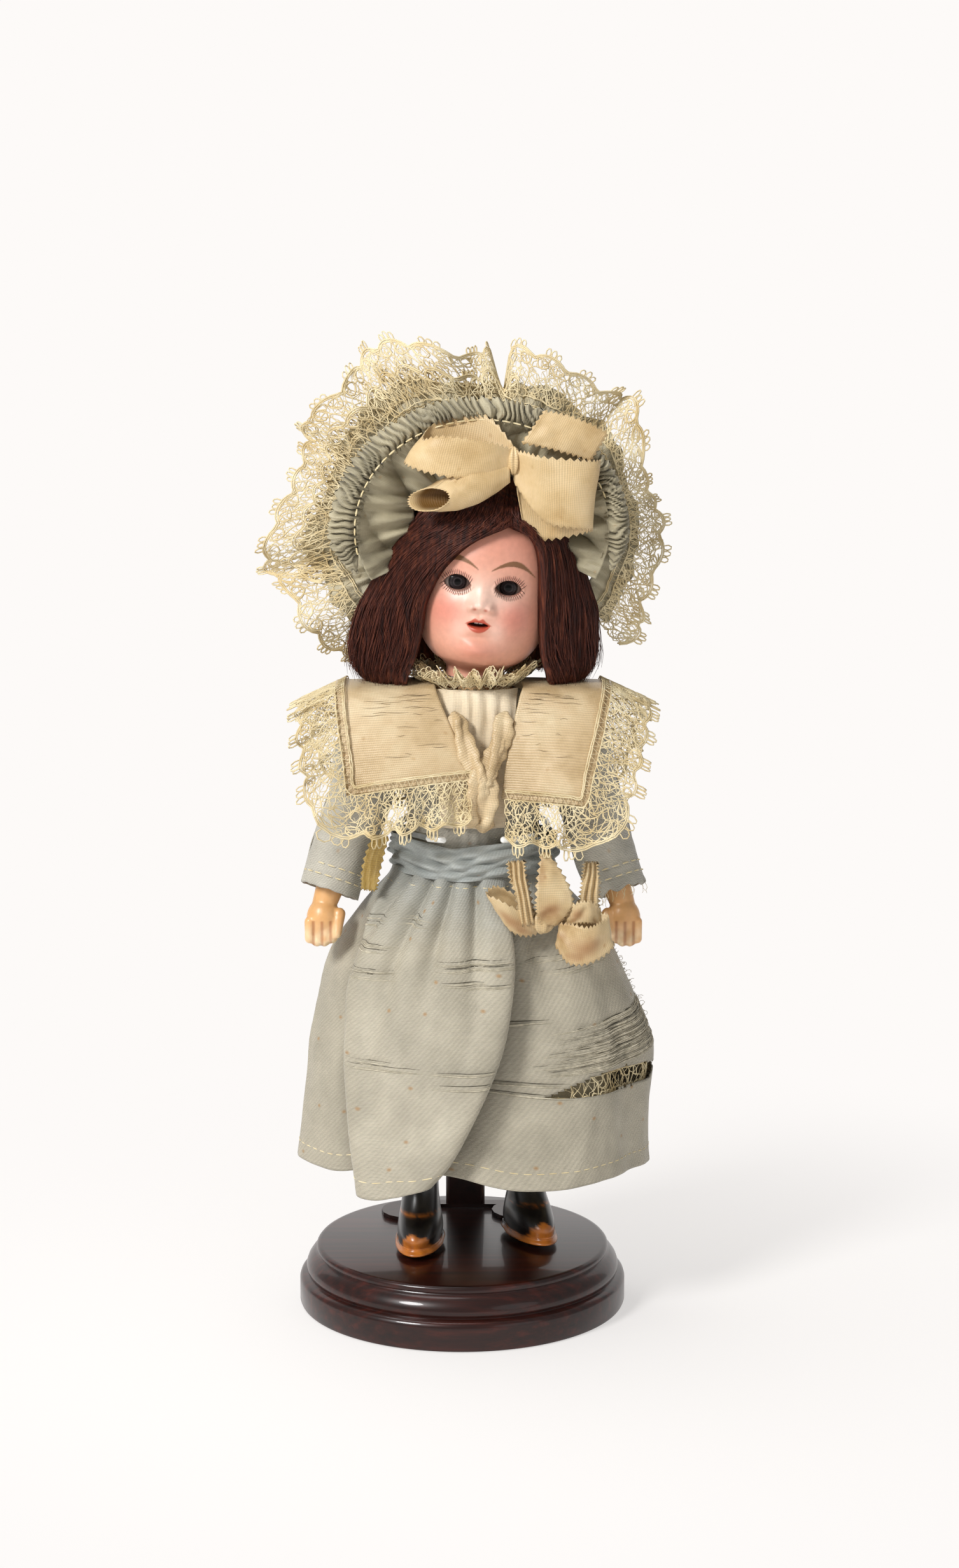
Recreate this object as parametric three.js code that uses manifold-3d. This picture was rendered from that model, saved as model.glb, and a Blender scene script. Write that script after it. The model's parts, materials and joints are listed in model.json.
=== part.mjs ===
// Antique dressed doll on a turned wooden stand: a bisque socket head with sleep eyes, a strung
// five-piece composition body, a silk dress with a wide collar, and a shirred silk bonnet.
// Millimetres, +Z up. The doll looks along -Y, and the origin is under the middle of the stand's base.
import * as THREE from "three";
import { mergeVertices } from "three/addons/utils/BufferGeometryUtils.js";
import Module from "manifold-3d";

const wasm = await Module();
wasm.setup();

// Fits and sheet thicknesses
const GAP = 0.35;
const FACET = 0.25;
const SEAT = 0.05;
const FINISH = 0.1;
const CLOTH = 0.9;
const LACE = 0.7;
const RIBBON = 0.7;

// Stand
const BASE_R = 50;
const BASE_TOP_R = 44.5;
const BASE_BAND_H = 9;
const BASE_H = 18.5;
const FOOT_T = 1.2;
const EAR_R = 9;
const EAR_X = 17.4;
const EAR_Y = 26;
const SLEEVE_X = 0.8;
const SLEEVE_Y = 33;
const SLEEVE_W = 12.4;
const SLEEVE_D = 4.4;
const SLEEVE_WALL = 0.8;
const SLEEVE_H = 62;
const SCREW_HEAD_R = 3;
const SCREW_HEAD_H = 1.9;
const SCREW_SHANK_R = 1.1;
const SCREW_LENGTH = 9;

// Waist clip, one bent wire whose hairpin end slides in the stand's sleeve
const WIRE_R = 1;
const CLIP_RISE = 14;
const CLIP_TIP_X = 12.4;
const HAIRPIN_LIFT = 5;
const TIP_R = 1.8;
const TIP_LENGTH = 5;

// Doll: where it stands and its main lengths
const DOLL_X = 3.5;
const DOLL_Y = 1;
const SOLE_GAP = 1.2;
const LEG_LENGTH = 101;
const TORSO_LENGTH = 72;
const SHOULDER_DROP = 13.5;
const WAIST_RISE = 14;
const WALL = 2.2;

// Limb joints: flat faces square to the joint axes
const SHOULDER_HALF = 20.5;
const SHOULDER_GIRTH = 22.5;
const ARM_TOP_R = 8.4;
const UPPER_ARM = 34;
const FOREARM = 20;
const ARM_SPREAD = 16.5;
const FINGER_R = 1.55;
const HIP_HALF = 6.8;
const LEG_TOP_R = 11.2;
const LEG_SPREAD = 2.6;
const LEG_STEP_LEFT = 5;
const LEG_STEP_RIGHT = -6;
const TOE_OUT_LEFT = 20;
const TOE_OUT_RIGHT = -5;
const STRING_HOLE_R = 2.4;
const ELASTIC_R = 0.9;
const HOOK_R = 0.6;
const HOOK_EYE_R = 1.9;

// Head, from the neck pivot
const HEAD_ROLL = 7;
const HEAD_RISE = 34;
const NECK_BALL_R = 8.6;
const EYE_R = 5.4;
const EYE_X = 7.5;
const EYE_DROP = 3.4;
const EYE_FRONT = 17;
const EYE_HALF_W = 3.9;
const EYE_HALF_H = 2.4;
const MOUTH_DROP = 14.9;
const MOUTH_HALF_W = 2.8;
const MOUTH_HALF_H = 0.95;
const AXLE_R = 0.7;
const WEIGHT_R = 3.4;
const CROWN_CUT = 13;

// Clothes
const HEM_Z = 26;
const PETTICOAT_HEM_Z = 31;
const SKIRT_LAP = 3;
const SASH_H = 10.2;
const SASH_LIFT = 1.6;
const SASH_T = 1.4;
const CUFF_R = 8.7;
const SLEEVE_TOP_R = 10.2;
const CUFF_DROP = 50;
const COLLAR_SINK = 0.4;
const COLLAR_OUT = 41;
const COLLAR_IN = 12;
const COLLAR_FRONT_DROP = 29.5;
const COLLAR_BACK_DROP = 27;
const LACE_FRONT_W = 16;
const LACE_SIDE_W = 13;
const FRILL_IN_R = 10.9;
const FRILL_OUT_R = 18.8;
const FRILL_RISE = 5.8;

// Wig and bonnet
const HAIR_LIFT = 1.4;
const HAT_X = 2;
const HAT_RISE = 46;
const HAT_A = 41;
const HAT_B = 35.5;
const ROLL_Y = -12;
const ROLL_R = 4;
const ROLL_RIBS = 32;
const HAT_DEPTH = 36;
const FRILL_SILK_OUT = 49.5;
const FRILL_LACE_OUT = 58.5;
const FRILL_LIFT = 0.93;
const FRILL_SHIFT = 4;
const FRILL_WAVES = 10;
const BOW_W = 13;
const KNOT_R = 3.6;

const HIP_Z = LEG_LENGTH;
const NECK_Z = HIP_Z + TORSO_LENGTH;
const SHOULDER_Z = NECK_Z - SHOULDER_DROP;
const WAIST_Z = HIP_Z + WAIST_RISE;
const CLIP_Z = WAIST_Z + CLIP_RISE;
const COLLAR_TOP = NECK_Z - COLLAR_SINK;
const COLLAR_FRONT_Z = NECK_Z - COLLAR_FRONT_DROP;
const COLLAR_BACK_Z = NECK_Z - COLLAR_BACK_DROP;
const HAIR_BOTTOM = NECK_Z + HAIR_LIFT;
const HAT_Z = NECK_Z + HAT_RISE;
const DOLL_Z = BASE_H + SOLE_GAP;
const FOOT_Z = BASE_H + SEAT;
const SIDES = [["left", 1], ["right", -1]];

const WOOD = { color: 0x4a1d14, roughness: 0.25, metalness: 0 };
const BRONZE = { color: 0x2c1814, roughness: 0.45, metalness: 0.7 };
const BRASS = { color: 0xc9a24a, roughness: 0.3, metalness: 0.9 };
const STEEL = { color: 0x8c8c88, roughness: 0.35, metalness: 0.9 };
const VINYL = { color: 0xe6e2d8, roughness: 0.5, metalness: 0 };
const COMPOSITION = { color: 0xdf9d63, roughness: 0.45, metalness: 0 };
const BISQUE = { color: 0xe8bba4, roughness: 0.6, metalness: 0 };
const CORK = { color: 0xa9794a, roughness: 0.9, metalness: 0 };
const GLASS = { color: 0x17110f, roughness: 0.05, metalness: 0 };
const LEAD = { color: 0x6b6e72, roughness: 0.6, metalness: 0.8 };
const PLASTER = { color: 0xe9e6de, roughness: 0.9, metalness: 0 };
const ELASTIC = { color: 0xd8d0bd, roughness: 0.9, metalness: 0 };
const HAIR = { color: 0x5a281c, roughness: 0.5, metalness: 0 };
const SILK = { color: 0xb3b8b2, roughness: 0.55, metalness: 0 };
const SATIN = { color: 0xdfca9c, roughness: 0.45, metalness: 0 };
const NET = { color: 0xdcc48f, roughness: 0.9, metalness: 0 };

// Geometry helpers
const vec = (x, y, z) => new THREE.Vector3(x, y, z);
const radians = THREE.MathUtils.degToRad;
const lerp = THREE.MathUtils.lerp;
const bump = (value, centre, width) => Math.exp(-(((value - centre) / width) ** 2));

// A closed, outward-facing mesh with shared vertices and no collapsed triangles.
function closed(geometry) {
  const bare = new THREE.BufferGeometry();
  const source = geometry.index ? geometry.toNonIndexed() : geometry;
  bare.setAttribute("position", source.getAttribute("position").clone());
  const merged = mergeVertices(bare, 1e-3);
  const place = merged.getAttribute("position");
  const triangles = [];
  let volume = 0;
  const [a, b, c] = [vec(0, 0, 0), vec(0, 0, 0), vec(0, 0, 0)];
  for (let i = 0; i < merged.index.count; i += 3) {
    const corner = [0, 1, 2].map((k) => merged.index.getX(i + k));
    if (new Set(corner).size < 3) continue;
    triangles.push(corner);
    a.fromBufferAttribute(place, corner[0]);
    b.fromBufferAttribute(place, corner[1]);
    c.fromBufferAttribute(place, corner[2]);
    volume += a.dot(b.cross(c));
  }
  merged.setIndex(triangles.flatMap(([i, j, k]) => (volume < 0 ? [i, k, j] : [i, j, k])));
  return merged;
}

function solid(geometry) {
  const mesh = closed(geometry);
  return new wasm.Manifold(new wasm.Mesh({
    numProp: 3,
    vertProperties: new Float32Array(mesh.getAttribute("position").array),
    triVerts: new Uint32Array(mesh.index.array),
  }));
}

function geometryOf(shape) {
  const mesh = shape.simplify(FINISH).getMesh();
  const geometry = new THREE.BufferGeometry();
  geometry.setAttribute("position", new THREE.BufferAttribute(mesh.vertProperties.slice(), 3));
  geometry.setIndex(Array.from(mesh.triVerts));
  return geometry;
}

// The largest connected body of a cut solid.
function main(shape) {
  return shape.decompose().sort((a, b) => b.volume() - a.volume())[0];
}

const union = (...shapes) => shapes.reduce((whole, next) => whole.add(next));
const minus = (shape, ...cuts) => cuts.reduce((rest, cut) => rest.subtract(cut), shape);

// Joins rings of equal length: open lofts are capped at both ends, a looped loft closes on itself.
function loft(rings, looped = false) {
  const n = rings[0].length;
  const points = rings.flat();
  const index = [];
  const spans = looped ? rings.length : rings.length - 1;
  for (let i = 0; i < spans; i += 1) {
    const j = (i + 1) % rings.length;
    for (let k = 0; k < n; k += 1) {
      const m = (k + 1) % n;
      index.push(i * n + k, i * n + m, j * n + m, i * n + k, j * n + m, j * n + k);
    }
  }
  if (!looped) {
    for (const [row, turn] of [[0, -1], [rings.length - 1, 1]]) {
      const sum = rings[row].reduce((total, p) => total.add(p), vec(0, 0, 0));
      const middle = points.push(sum.divideScalar(n)) - 1;
      for (let k = 0; k < n; k += 1) {
        const pair = [row * n + k, row * n + ((k + 1) % n)];
        index.push(middle, ...(turn > 0 ? pair : pair.reverse()));
      }
    }
  }
  const geometry = new THREE.BufferGeometry().setFromPoints(points);
  geometry.setIndex(index);
  return closed(geometry);
}

// A bent sheet between two equal grids of points, one on each face.
function slab(face, back) {
  const [m, n] = [face.length, face[0].length];
  const points = [...face.flat(), ...back.flat()];
  const index = [];
  const quad = (a, b, c, d) => index.push(a, b, c, a, c, d);
  const at = (i, j, side) => side * m * n + i * n + j;
  for (let i = 0; i < m - 1; i += 1) {
    for (let j = 0; j < n - 1; j += 1) {
      quad(at(i, j, 0), at(i, j + 1, 0), at(i + 1, j + 1, 0), at(i + 1, j, 0));
      quad(at(i, j, 1), at(i + 1, j, 1), at(i + 1, j + 1, 1), at(i, j + 1, 1));
    }
    quad(at(i, 0, 0), at(i + 1, 0, 0), at(i + 1, 0, 1), at(i, 0, 1));
    quad(at(i, n - 1, 1), at(i + 1, n - 1, 1), at(i + 1, n - 1, 0), at(i, n - 1, 0));
  }
  for (let j = 0; j < n - 1; j += 1) {
    quad(at(0, j + 1, 0), at(0, j, 0), at(0, j, 1), at(0, j + 1, 1));
    quad(at(m - 1, j, 0), at(m - 1, j + 1, 0), at(m - 1, j + 1, 1), at(m - 1, j, 1));
  }
  const geometry = new THREE.BufferGeometry().setFromPoints(points);
  geometry.setIndex(index);
  return closed(geometry);
}

// A level ring with its own half-width, front depth and back depth, round the centre (x, y).
function oval(n, z, a, front, back, x = 0, y = 0) {
  return Array.from({ length: n }, (_, k) => {
    const turn = (k / n) * Math.PI * 2;
    const depth = Math.sin(turn) < 0 ? front : back;
    return vec(x + a * Math.cos(turn), y + depth * Math.sin(turn), z);
  });
}

function tube(points, radius, sides, steps, loop = false) {
  const path = new THREE.CatmullRomCurve3(points, loop, "centripetal");
  const ring = new THREE.Path().absarc(0, 0, radius, 0, Math.PI * 2).getPoints(sides / 2);
  return closed(new THREE.ExtrudeGeometry(new THREE.Shape(ring.slice(0, -1)), { steps, extrudePath: path }));
}

// A profile of [radius, height] pairs turned about +Z.
function turned(profile, segments) {
  const points = profile.map(([r, z]) => new THREE.Vector2(r, z));
  return closed(new THREE.LatheGeometry(points, segments).rotateX(Math.PI / 2));
}

// The same, turned about X; side -1 points the heights along -X.
function turnedAboutX(profile, segments, side) {
  return turned(profile, segments).rotateY((side * Math.PI) / 2);
}

function rod(radius, length, segments = 16) {
  return new THREE.CylinderGeometry(radius, radius, length, segments);
}

// A cylinder along X between two stations.
function rodX(radius, x0, x1, y, z, segments = 24) {
  return rod(radius, Math.abs(x1 - x0), segments).rotateZ(Math.PI / 2).translate((x0 + x1) / 2, y, z);
}

function block(x0, x1, y0, y1, z0, z1) {
  const box = new THREE.BoxGeometry(x1 - x0, y1 - y0, z1 - z0);
  return box.translate((x0 + x1) / 2, (y0 + y1) / 2, (z0 + z1) / 2);
}

// An outline in the front view, given as [x, z] pairs, extruded from y0 back to y1.
function frontPrism(outline, y0, y1) {
  const shape = new THREE.Shape(outline.map(([x, z]) => new THREE.Vector2(x, z)));
  const geometry = new THREE.ExtrudeGeometry(shape, { depth: y1 - y0, bevelEnabled: false });
  return geometry.rotateX(Math.PI / 2).translate(0, y1, 0);
}

function smoothOutline(points, samples) {
  const curve = new THREE.SplineCurve(points.map(([x, y]) => new THREE.Vector2(x, y)));
  return curve.getPoints(samples).map((p) => [p.x, p.y]);
}

// Linear reading of a table of [key, value, value, ...] rows.
function read(table, key) {
  const found = table.findIndex((row) => row[0] >= key);
  const high = found < 0 ? table.length - 1 : Math.max(1, found);
  const [low, top] = [table[high - 1], table[high]];
  const share = THREE.MathUtils.clamp((key - low[0]) / (top[0] - low[0]), 0, 1);
  return low.slice(1).map((value, i) => lerp(value, top[i + 1], share));
}

const doll = new THREE.Group();
doll.position.set(DOLL_X, DOLL_Y, DOLL_Z);
const whole = new THREE.Group();
whole.add(doll);

function add(parent, name, geometry, look) {
  const mesh = new THREE.Mesh(geometry, new THREE.MeshStandardMaterial(look));
  mesh.name = name;
  parent.add(mesh);
  return mesh;
}

// Stand base: a turned disc with a plain band, a cove, an ovolo and a lip under the flat top.
function standBase() {
  const height = BASE_H - BASE_BAND_H - 4.3;
  const bulge = new THREE.EllipseCurve(BASE_TOP_R - 1, BASE_BAND_H + 2, 4.6, height, -0.15, 1.37);
  const ovolo = bulge.getPoints(3);
  const profile = [
    [0, 0],
    [BASE_R - 1, 0],
    [BASE_R, 1],
    [BASE_R, BASE_BAND_H - 1],
    [BASE_R - 1, BASE_BAND_H],
    [BASE_R - 2.4, BASE_BAND_H + 0.4],
    ...ovolo.map((p) => [p.x, p.y]),
    [BASE_TOP_R, BASE_H - 1.6],
    [BASE_TOP_R, BASE_H - 0.5],
    [BASE_TOP_R - 0.5, BASE_H],
    [0, BASE_H],
  ];
  const pilots = SIDES.map(([, s]) => solid(
    rod(SCREW_SHANK_R + GAP, SCREW_LENGTH + GAP, 12).rotateX(Math.PI / 2)
      .translate(SLEEVE_X + s * EAR_X, EAR_Y, BASE_H - (SCREW_LENGTH - GAP) / 2)));
  add(whole, "stand_base", geometryOf(minus(solid(turned(profile, 28)), ...pilots)), WOOD);
}

// Sleeve: a flattened sheet-metal tube on a foot with two round ears.
function standSleeve() {
  const oblong = (w, d, r) => {
    const shape = new THREE.Shape();
    const [x, y] = [w / 2 - r, d / 2 - r];
    shape.absarc(x, y, r, 0, Math.PI / 2);
    shape.absarc(-x, y, r, Math.PI / 2, Math.PI);
    shape.absarc(-x, -y, r, Math.PI, Math.PI * 1.5);
    shape.absarc(x, -y, r, Math.PI * 1.5, Math.PI * 2);
    return shape;
  };
  const post = oblong(SLEEVE_W, SLEEVE_D, 1.6);
  const bore = oblong(SLEEVE_W - 2 * SLEEVE_WALL, SLEEVE_D - 2 * SLEEVE_WALL, 0.9);
  const upright = (shape, z0, z1) => solid(new THREE.ExtrudeGeometry(
    shape, { depth: z1 - z0, bevelEnabled: false, curveSegments: 3 }).translate(SLEEVE_X, SLEEVE_Y, z0));
  const [back, front] = [SLEEVE_Y + SLEEVE_D / 2, SLEEVE_Y - SLEEVE_D / 2];
  const bar = solid(block(SLEEVE_X - EAR_X, SLEEVE_X + EAR_X, front, back, FOOT_Z, FOOT_Z + FOOT_T));
  const ears = SIDES.map(([, s]) => solid(rod(EAR_R, FOOT_T, 16).rotateX(Math.PI / 2)
    .translate(SLEEVE_X + s * EAR_X, EAR_Y, FOOT_Z + FOOT_T / 2)));
  const holes = SIDES.map(([, s]) => solid(rod(SCREW_SHANK_R + GAP, 4 * FOOT_T, 12).rotateX(Math.PI / 2)
    .translate(SLEEVE_X + s * EAR_X, EAR_Y, FOOT_Z)));
  const body = union(upright(post, FOOT_Z, BASE_H + SLEEVE_H), bar, ...ears);
  const inside = upright(bore, FOOT_Z + FOOT_T, BASE_H + SLEEVE_H + 1);
  add(whole, "stand_sleeve", geometryOf(minus(body, inside, ...holes)), BRONZE);
}

function sleeveScrews() {
  const dome = new THREE.EllipseCurve(0, 0, SCREW_HEAD_R, SCREW_HEAD_H, 0, Math.PI / 2).getPoints(3);
  for (const [side, s] of SIDES) {
    const profile = [
      [0, -SCREW_LENGTH + 2],
      [SCREW_SHANK_R, -SCREW_LENGTH + 4],
      [SCREW_SHANK_R, 0],
      ...dome.map((p) => [p.x, p.y]),
    ];
    const mesh = add(whole, `sleeve_screw_${side}`, turned(profile, 12), BRASS);
    mesh.position.set(SLEEVE_X + s * EAR_X, EAR_Y, FOOT_Z + FOOT_T + SEAT);
  }
}

// The torso's girth at each height: half-width, front depth and back depth.
const TORSO = [
  [HIP_Z - 9, HIP_HALF - 1, 8, 9],
  [HIP_Z - 2.5, HIP_HALF, 12, 13.4],
  [HIP_Z - 1.5, 17, 12.6, 14],
  [HIP_Z + 8, 20.5, 15, 16],
  [WAIST_Z + 3, 20, 15.5, 15],
  [CLIP_Z + 2, 18.6, 15.3, 13.5],
  [SHOULDER_Z - 14, 20.5, 15, 13.5],
  [SHOULDER_Z, SHOULDER_GIRTH, 13, 13],
  [SHOULDER_Z + 6.5, 21, 11.8, 12],
  [NECK_Z - 4.5, 16, 10.8, 10.8],
  [NECK_Z - 2, 10.2, 9.8, 9.8],
];
const BODY_N = 18;

// Rings round the torso, pushed out by a distance, between two heights.
function girthRings(push, z0, z1) {
  const between = TORSO.map((row) => row[0]).filter((z) => z > z0 + 0.5 && z < z1 - 0.5);
  return [z0, ...between, z1].map((z) => {
    const [a, front, back] = read(TORSO, z);
    const lift = z > SHOULDER_Z + 1 ? push * 0.7 : 0;
    return oval(BODY_N, z + lift, a + push, front + push, back + push);
  });
}

function torsoShell(inner, thickness, z0, z1) {
  const outside = girthRings(inner + thickness, z0, z1);
  const inside = girthRings(inner, z0, z1);
  return solid(loft([...outside, ...inside.reverse()], true));
}

// Torso: a hollow moulded shell with a cupped neck and flat faces where the limbs are strung on.
function torso() {
  const shell = solid(loft(girthRings(0, TORSO[0][0], NECK_Z - 2)));
  const cavity = solid(loft([
    oval(10, HIP_Z - 4, HIP_HALF - WALL, 6, 6),
    oval(10, HIP_Z + LEG_TOP_R + 2, HIP_HALF - WALL, 9, 9),
    oval(10, WAIST_Z + 5, 15, 12, 11),
    oval(10, SHOULDER_Z - 14, 17, 12, 10.5),
    oval(10, SHOULDER_Z, SHOULDER_HALF - WALL, 10, 10),
    oval(10, NECK_Z - NECK_BALL_R - WALL, 8, 7, 7),
  ]));
  const cup = solid(new THREE.SphereGeometry(NECK_BALL_R + GAP, 16, 10).translate(0, 0, NECK_Z));
  const throat = solid(rod(STRING_HOLE_R + 1.4, 16).rotateX(Math.PI / 2).translate(0, 0, NECK_Z - 12));
  const limbs = SIDES.flatMap(([, s]) => [
    solid(rodX(ARM_TOP_R + GAP, s * SHOULDER_HALF, s * 60, 0, SHOULDER_Z, 14)),
    solid(rodX(STRING_HOLE_R, s * 10, s * 30, 0, SHOULDER_Z, 8)),
    solid(rodX(LEG_TOP_R + GAP, s * HIP_HALF, s * 60, 0, HIP_Z, 16)),
    solid(rodX(STRING_HOLE_R, s * 1, s * 20, 0, HIP_Z, 8)),
  ]);
  add(doll, "torso", geometryOf(main(minus(shell, cavity, cup, throat, ...limbs))), COMPOSITION);
}

// Each arm's moulded post ends in a knob inside the torso, where the arms' cord is tied.
const POST_IN = SHOULDER_HALF - 4.5;
const KNOB_IN = POST_IN - 2;

// Arms hang with a slight bend; their round tops lie against the torso's flat shoulder faces.
function armCentre(drop) {
  const share = THREE.MathUtils.clamp(drop / (UPPER_ARM + FOREARM), 0, 1.3);
  const bend = Math.max(0, drop - UPPER_ARM * 0.7);
  const x = SHOULDER_HALF + ARM_TOP_R - 0.6 + ARM_SPREAD * share ** 1.15;
  return [x, 1.2 * Math.sin(share * 3) - bend * 0.22];
}

function fist(s) {
  const wrist = UPPER_ARM + FOREARM;
  const [x, y] = armCentre(wrist);
  const z = SHOULDER_Z - wrist;
  const palm = [[0, 3.9, 3.6], [4, 5.6, 4], [8, 6, 3.9], [10.5, 4.8, 3]].map(([down, a, d]) => oval(
    8, z - down, a, d, d, s * (x + 0.12 * down), y - 0.1 * down));
  const fingers = [-1.5, -0.5, 0.5, 1.5].map((k) => {
    const finger = new THREE.CapsuleGeometry(FINGER_R, 6, 1, 6).rotateX(radians(62));
    return solid(finger.translate(s * (x + 1.1) + k * 2.75, y - 3, z - 10.2 + 0.5 * Math.abs(k)));
  });
  const thumb = new THREE.CapsuleGeometry(FINGER_R + 0.15, 5, 1, 6).rotateX(radians(105));
  thumb.rotateY(s * radians(-14)).translate(s * (x - 4.6), y - 2.6, z - 6);
  return union(solid(loft(palm)), ...fingers, solid(thumb));
}

function arms() {
  for (const [side, s] of SIDES) {
    const face = SHOULDER_HALF + GAP;
    const dome = solid(turnedAboutX([
      [0, face],
      [ARM_TOP_R - 1, face],
      [ARM_TOP_R, face + 1],
      [ARM_TOP_R, face + 6],
      [ARM_TOP_R - 2, face + 10],
      [0, face + 13],
    ], 14, s).translate(0, 0, SHOULDER_Z));
    const drops = [[0, 6.2, 7.6], [12, 6.2, 7.2], [24, 5.8, 6.4], [UPPER_ARM, 5.4, 5.9],
      [UPPER_ARM + 10, 5, 5.2], [UPPER_ARM + FOREARM, 3.9, 3.6], [UPPER_ARM + FOREARM + 1, 3.9, 3.6]];
    const limb = solid(loft(drops.map(([drop, a, d]) => {
      const [x, y] = armCentre(drop);
      return oval(12, SHOULDER_Z - drop, a, d, d, s * x, y);
    })));
    const post = solid(rodX(STRING_HOLE_R - 2 * GAP, s * POST_IN, s * (face + 3), 0, SHOULDER_Z, 8));
    const knob = solid(rodX(STRING_HOLE_R - GAP, s * KNOB_IN, s * POST_IN, 0, SHOULDER_Z, 8));
    add(doll, `arm_${side}`, geometryOf(union(dome, limb, fist(s), post, knob)), COMPOSITION);
  }
}

// Leg rings: share of the length, half-width, half-depth.
const LEG = [
  [0, 6.6, 9.6],
  [0.2, 6.8, 8.4],
  [0.42, 6.1, 6.9],
  [0.6, 6.4, 7],
  [0.77, 5.3, 5.7],
  [0.85, 5.5, 6],
];

// Boot rings: height, half-width, reach to the toe, reach to the heel.
const BOOT = [
  [11.5, 6.1, 9.5, 8],
  [8, 6.6, 14.5, 8.8],
  [5, 6.9, 17, 9.2],
  [2.1, 6.7, 16.8, 9],
  [1.9, 7.1, 17.4, 9.4],
  [0, 7, 17.2, 9.2],
];

// Legs end in moulded boots with a welted sole and a low heel.
function legs() {
  const steps = { left: LEG_STEP_LEFT, right: LEG_STEP_RIGHT };
  const toes = { left: TOE_OUT_LEFT, right: TOE_OUT_RIGHT };
  for (const [side, s] of SIDES) {
    const face = HIP_HALF + GAP;
    const hip = solid(turnedAboutX([
      [0, face],
      [LEG_TOP_R - 1, face],
      [LEG_TOP_R, face + 1],
      [LEG_TOP_R, face + 7],
      [LEG_TOP_R - 3, face + 12],
      [0, face + 14.5],
    ], 16, s).translate(0, 0, HIP_Z));
    const centre = (share) => [s * (face + 6.8 + LEG_SPREAD * share), steps[side] * share];
    const rings = LEG.map(([share, a, d]) => oval(12, HIP_Z - LEG_LENGTH * share, a, d, d, ...centre(share)));
    const ankle = centre(0.88);
    const turn = radians(toes[side]);
    for (const [z, a, toe, heel] of BOOT) {
      const ring = oval(12, z, a, toe, heel).map((p) => p.applyAxisAngle(vec(0, 0, 1), turn));
      rings.push(ring.map((p) => p.add(vec(...ankle, 0))));
    }
    const arch = solid(block(-9, 9, -3.5, 3, -1, 1.1).rotateZ(turn).translate(...ankle, 0));
    const socket = solid(rodX(STRING_HOLE_R + 1, s * (face - 1), s * (face + 5), 0, HIP_Z, 12));
    add(doll, `leg_${side}`, geometryOf(minus(union(hip, solid(loft(rings))), arch, socket)), COMPOSITION);
    // The hook's plug sits in the leg's socket and its eye stands in the torso on the hip axis.
    const plug = solid(rodX(STRING_HOLE_R + 1 - GAP, s * face, s * (face + 4.5), 0, HIP_Z, 12));
    const stem = solid(rodX(HOOK_R, s * 1.5, s * (face + 1), 0, HIP_Z, 8));
    const knob = solid(rodX(HOOK_EYE_R, s * 0.8, s * 1.8, 0, HIP_Z, 10));
    add(doll, `leg_hook_${side}`, geometryOf(union(plug, stem, knob)), STEEL);
  }
}

// Stringing: one cord runs from leg hook to leg hook over the neck hook, one cord joins the arms.
function stringing() {
  const bend = HOOK_R + ELASTIC_R + GAP + 0.55;
  const hookZ = NECK_Z - NECK_BALL_R - bend - 3.2;
  const tie = HOOK_R + ELASTIC_R + GAP;
  const tieX = 3.05;
  const half = (s) => [
    vec(s * tieX, 0, HIP_Z + tie),
    vec(s * 2.8, 0, HIP_Z + 14),
    vec(s * 3.4, 0, SHOULDER_Z - 18),
    vec(s * 3.2, 0, hookZ - 6),
    vec(s * 2.2, 0, hookZ - 0.6),
  ];
  const cord = solid(tube([...half(1), vec(0, 0, hookZ + 0.4), ...half(-1).reverse()], ELASTIC_R, 6, 18));
  const ties = SIDES.map(([, s]) => solid(new THREE.TorusGeometry(tie, ELASTIC_R, 5, 7).rotateY(Math.PI / 2)
    .translate(s * tieX, 0, HIP_Z)));
  add(doll, "leg_elastic", geometryOf(union(cord, ...ties)), ELASTIC);
  const reach = KNOB_IN - GAP;
  const across = [[-reach, 0], [-6, -4.5], [6, -4.5], [reach, 0]].map(([x, y]) => vec(x, y, SHOULDER_Z));
  add(doll, "arm_elastic", tube(across, ELASTIC_R, 6, 8), ELASTIC);
  const seat = NECK_BALL_R - WALL - GAP - FACET;
  const bore = HOOK_R + GAP;
  const dome = [[seat * 0.56, -0.8], [seat * 0.82, -0.5], [seat * 0.78, -0.25]];
  const profile = [[bore, -0.8], ...dome, [bore, -0.2], [bore, -0.8]];
  const button = turned(profile.map(([r, z]) => [r, z * seat]), 14);
  add(doll, "neck_button", button.translate(0, 0, NECK_Z), WOOD);
  const hook = [
    vec(0, 0, NECK_Z + 0.4),
    vec(0, 0, hookZ + bend + 2.2),
    vec(0, -bend * 0.8, hookZ + bend * 0.75),
    vec(0, -bend, hookZ),
    vec(0, 0, hookZ - bend),
    vec(0, bend, hookZ + 0.4),
  ];
  const knobR = bore + 0.5;
  const knobZ = NECK_Z - seat * 0.2 + knobR + GAP;
  const knob = solid(new THREE.SphereGeometry(knobR, 8, 6).translate(0, 0, knobZ));
  add(doll, "neck_hook", geometryOf(union(solid(tube(hook, HOOK_R, 6, 12)), knob)), STEEL);
}

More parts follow.
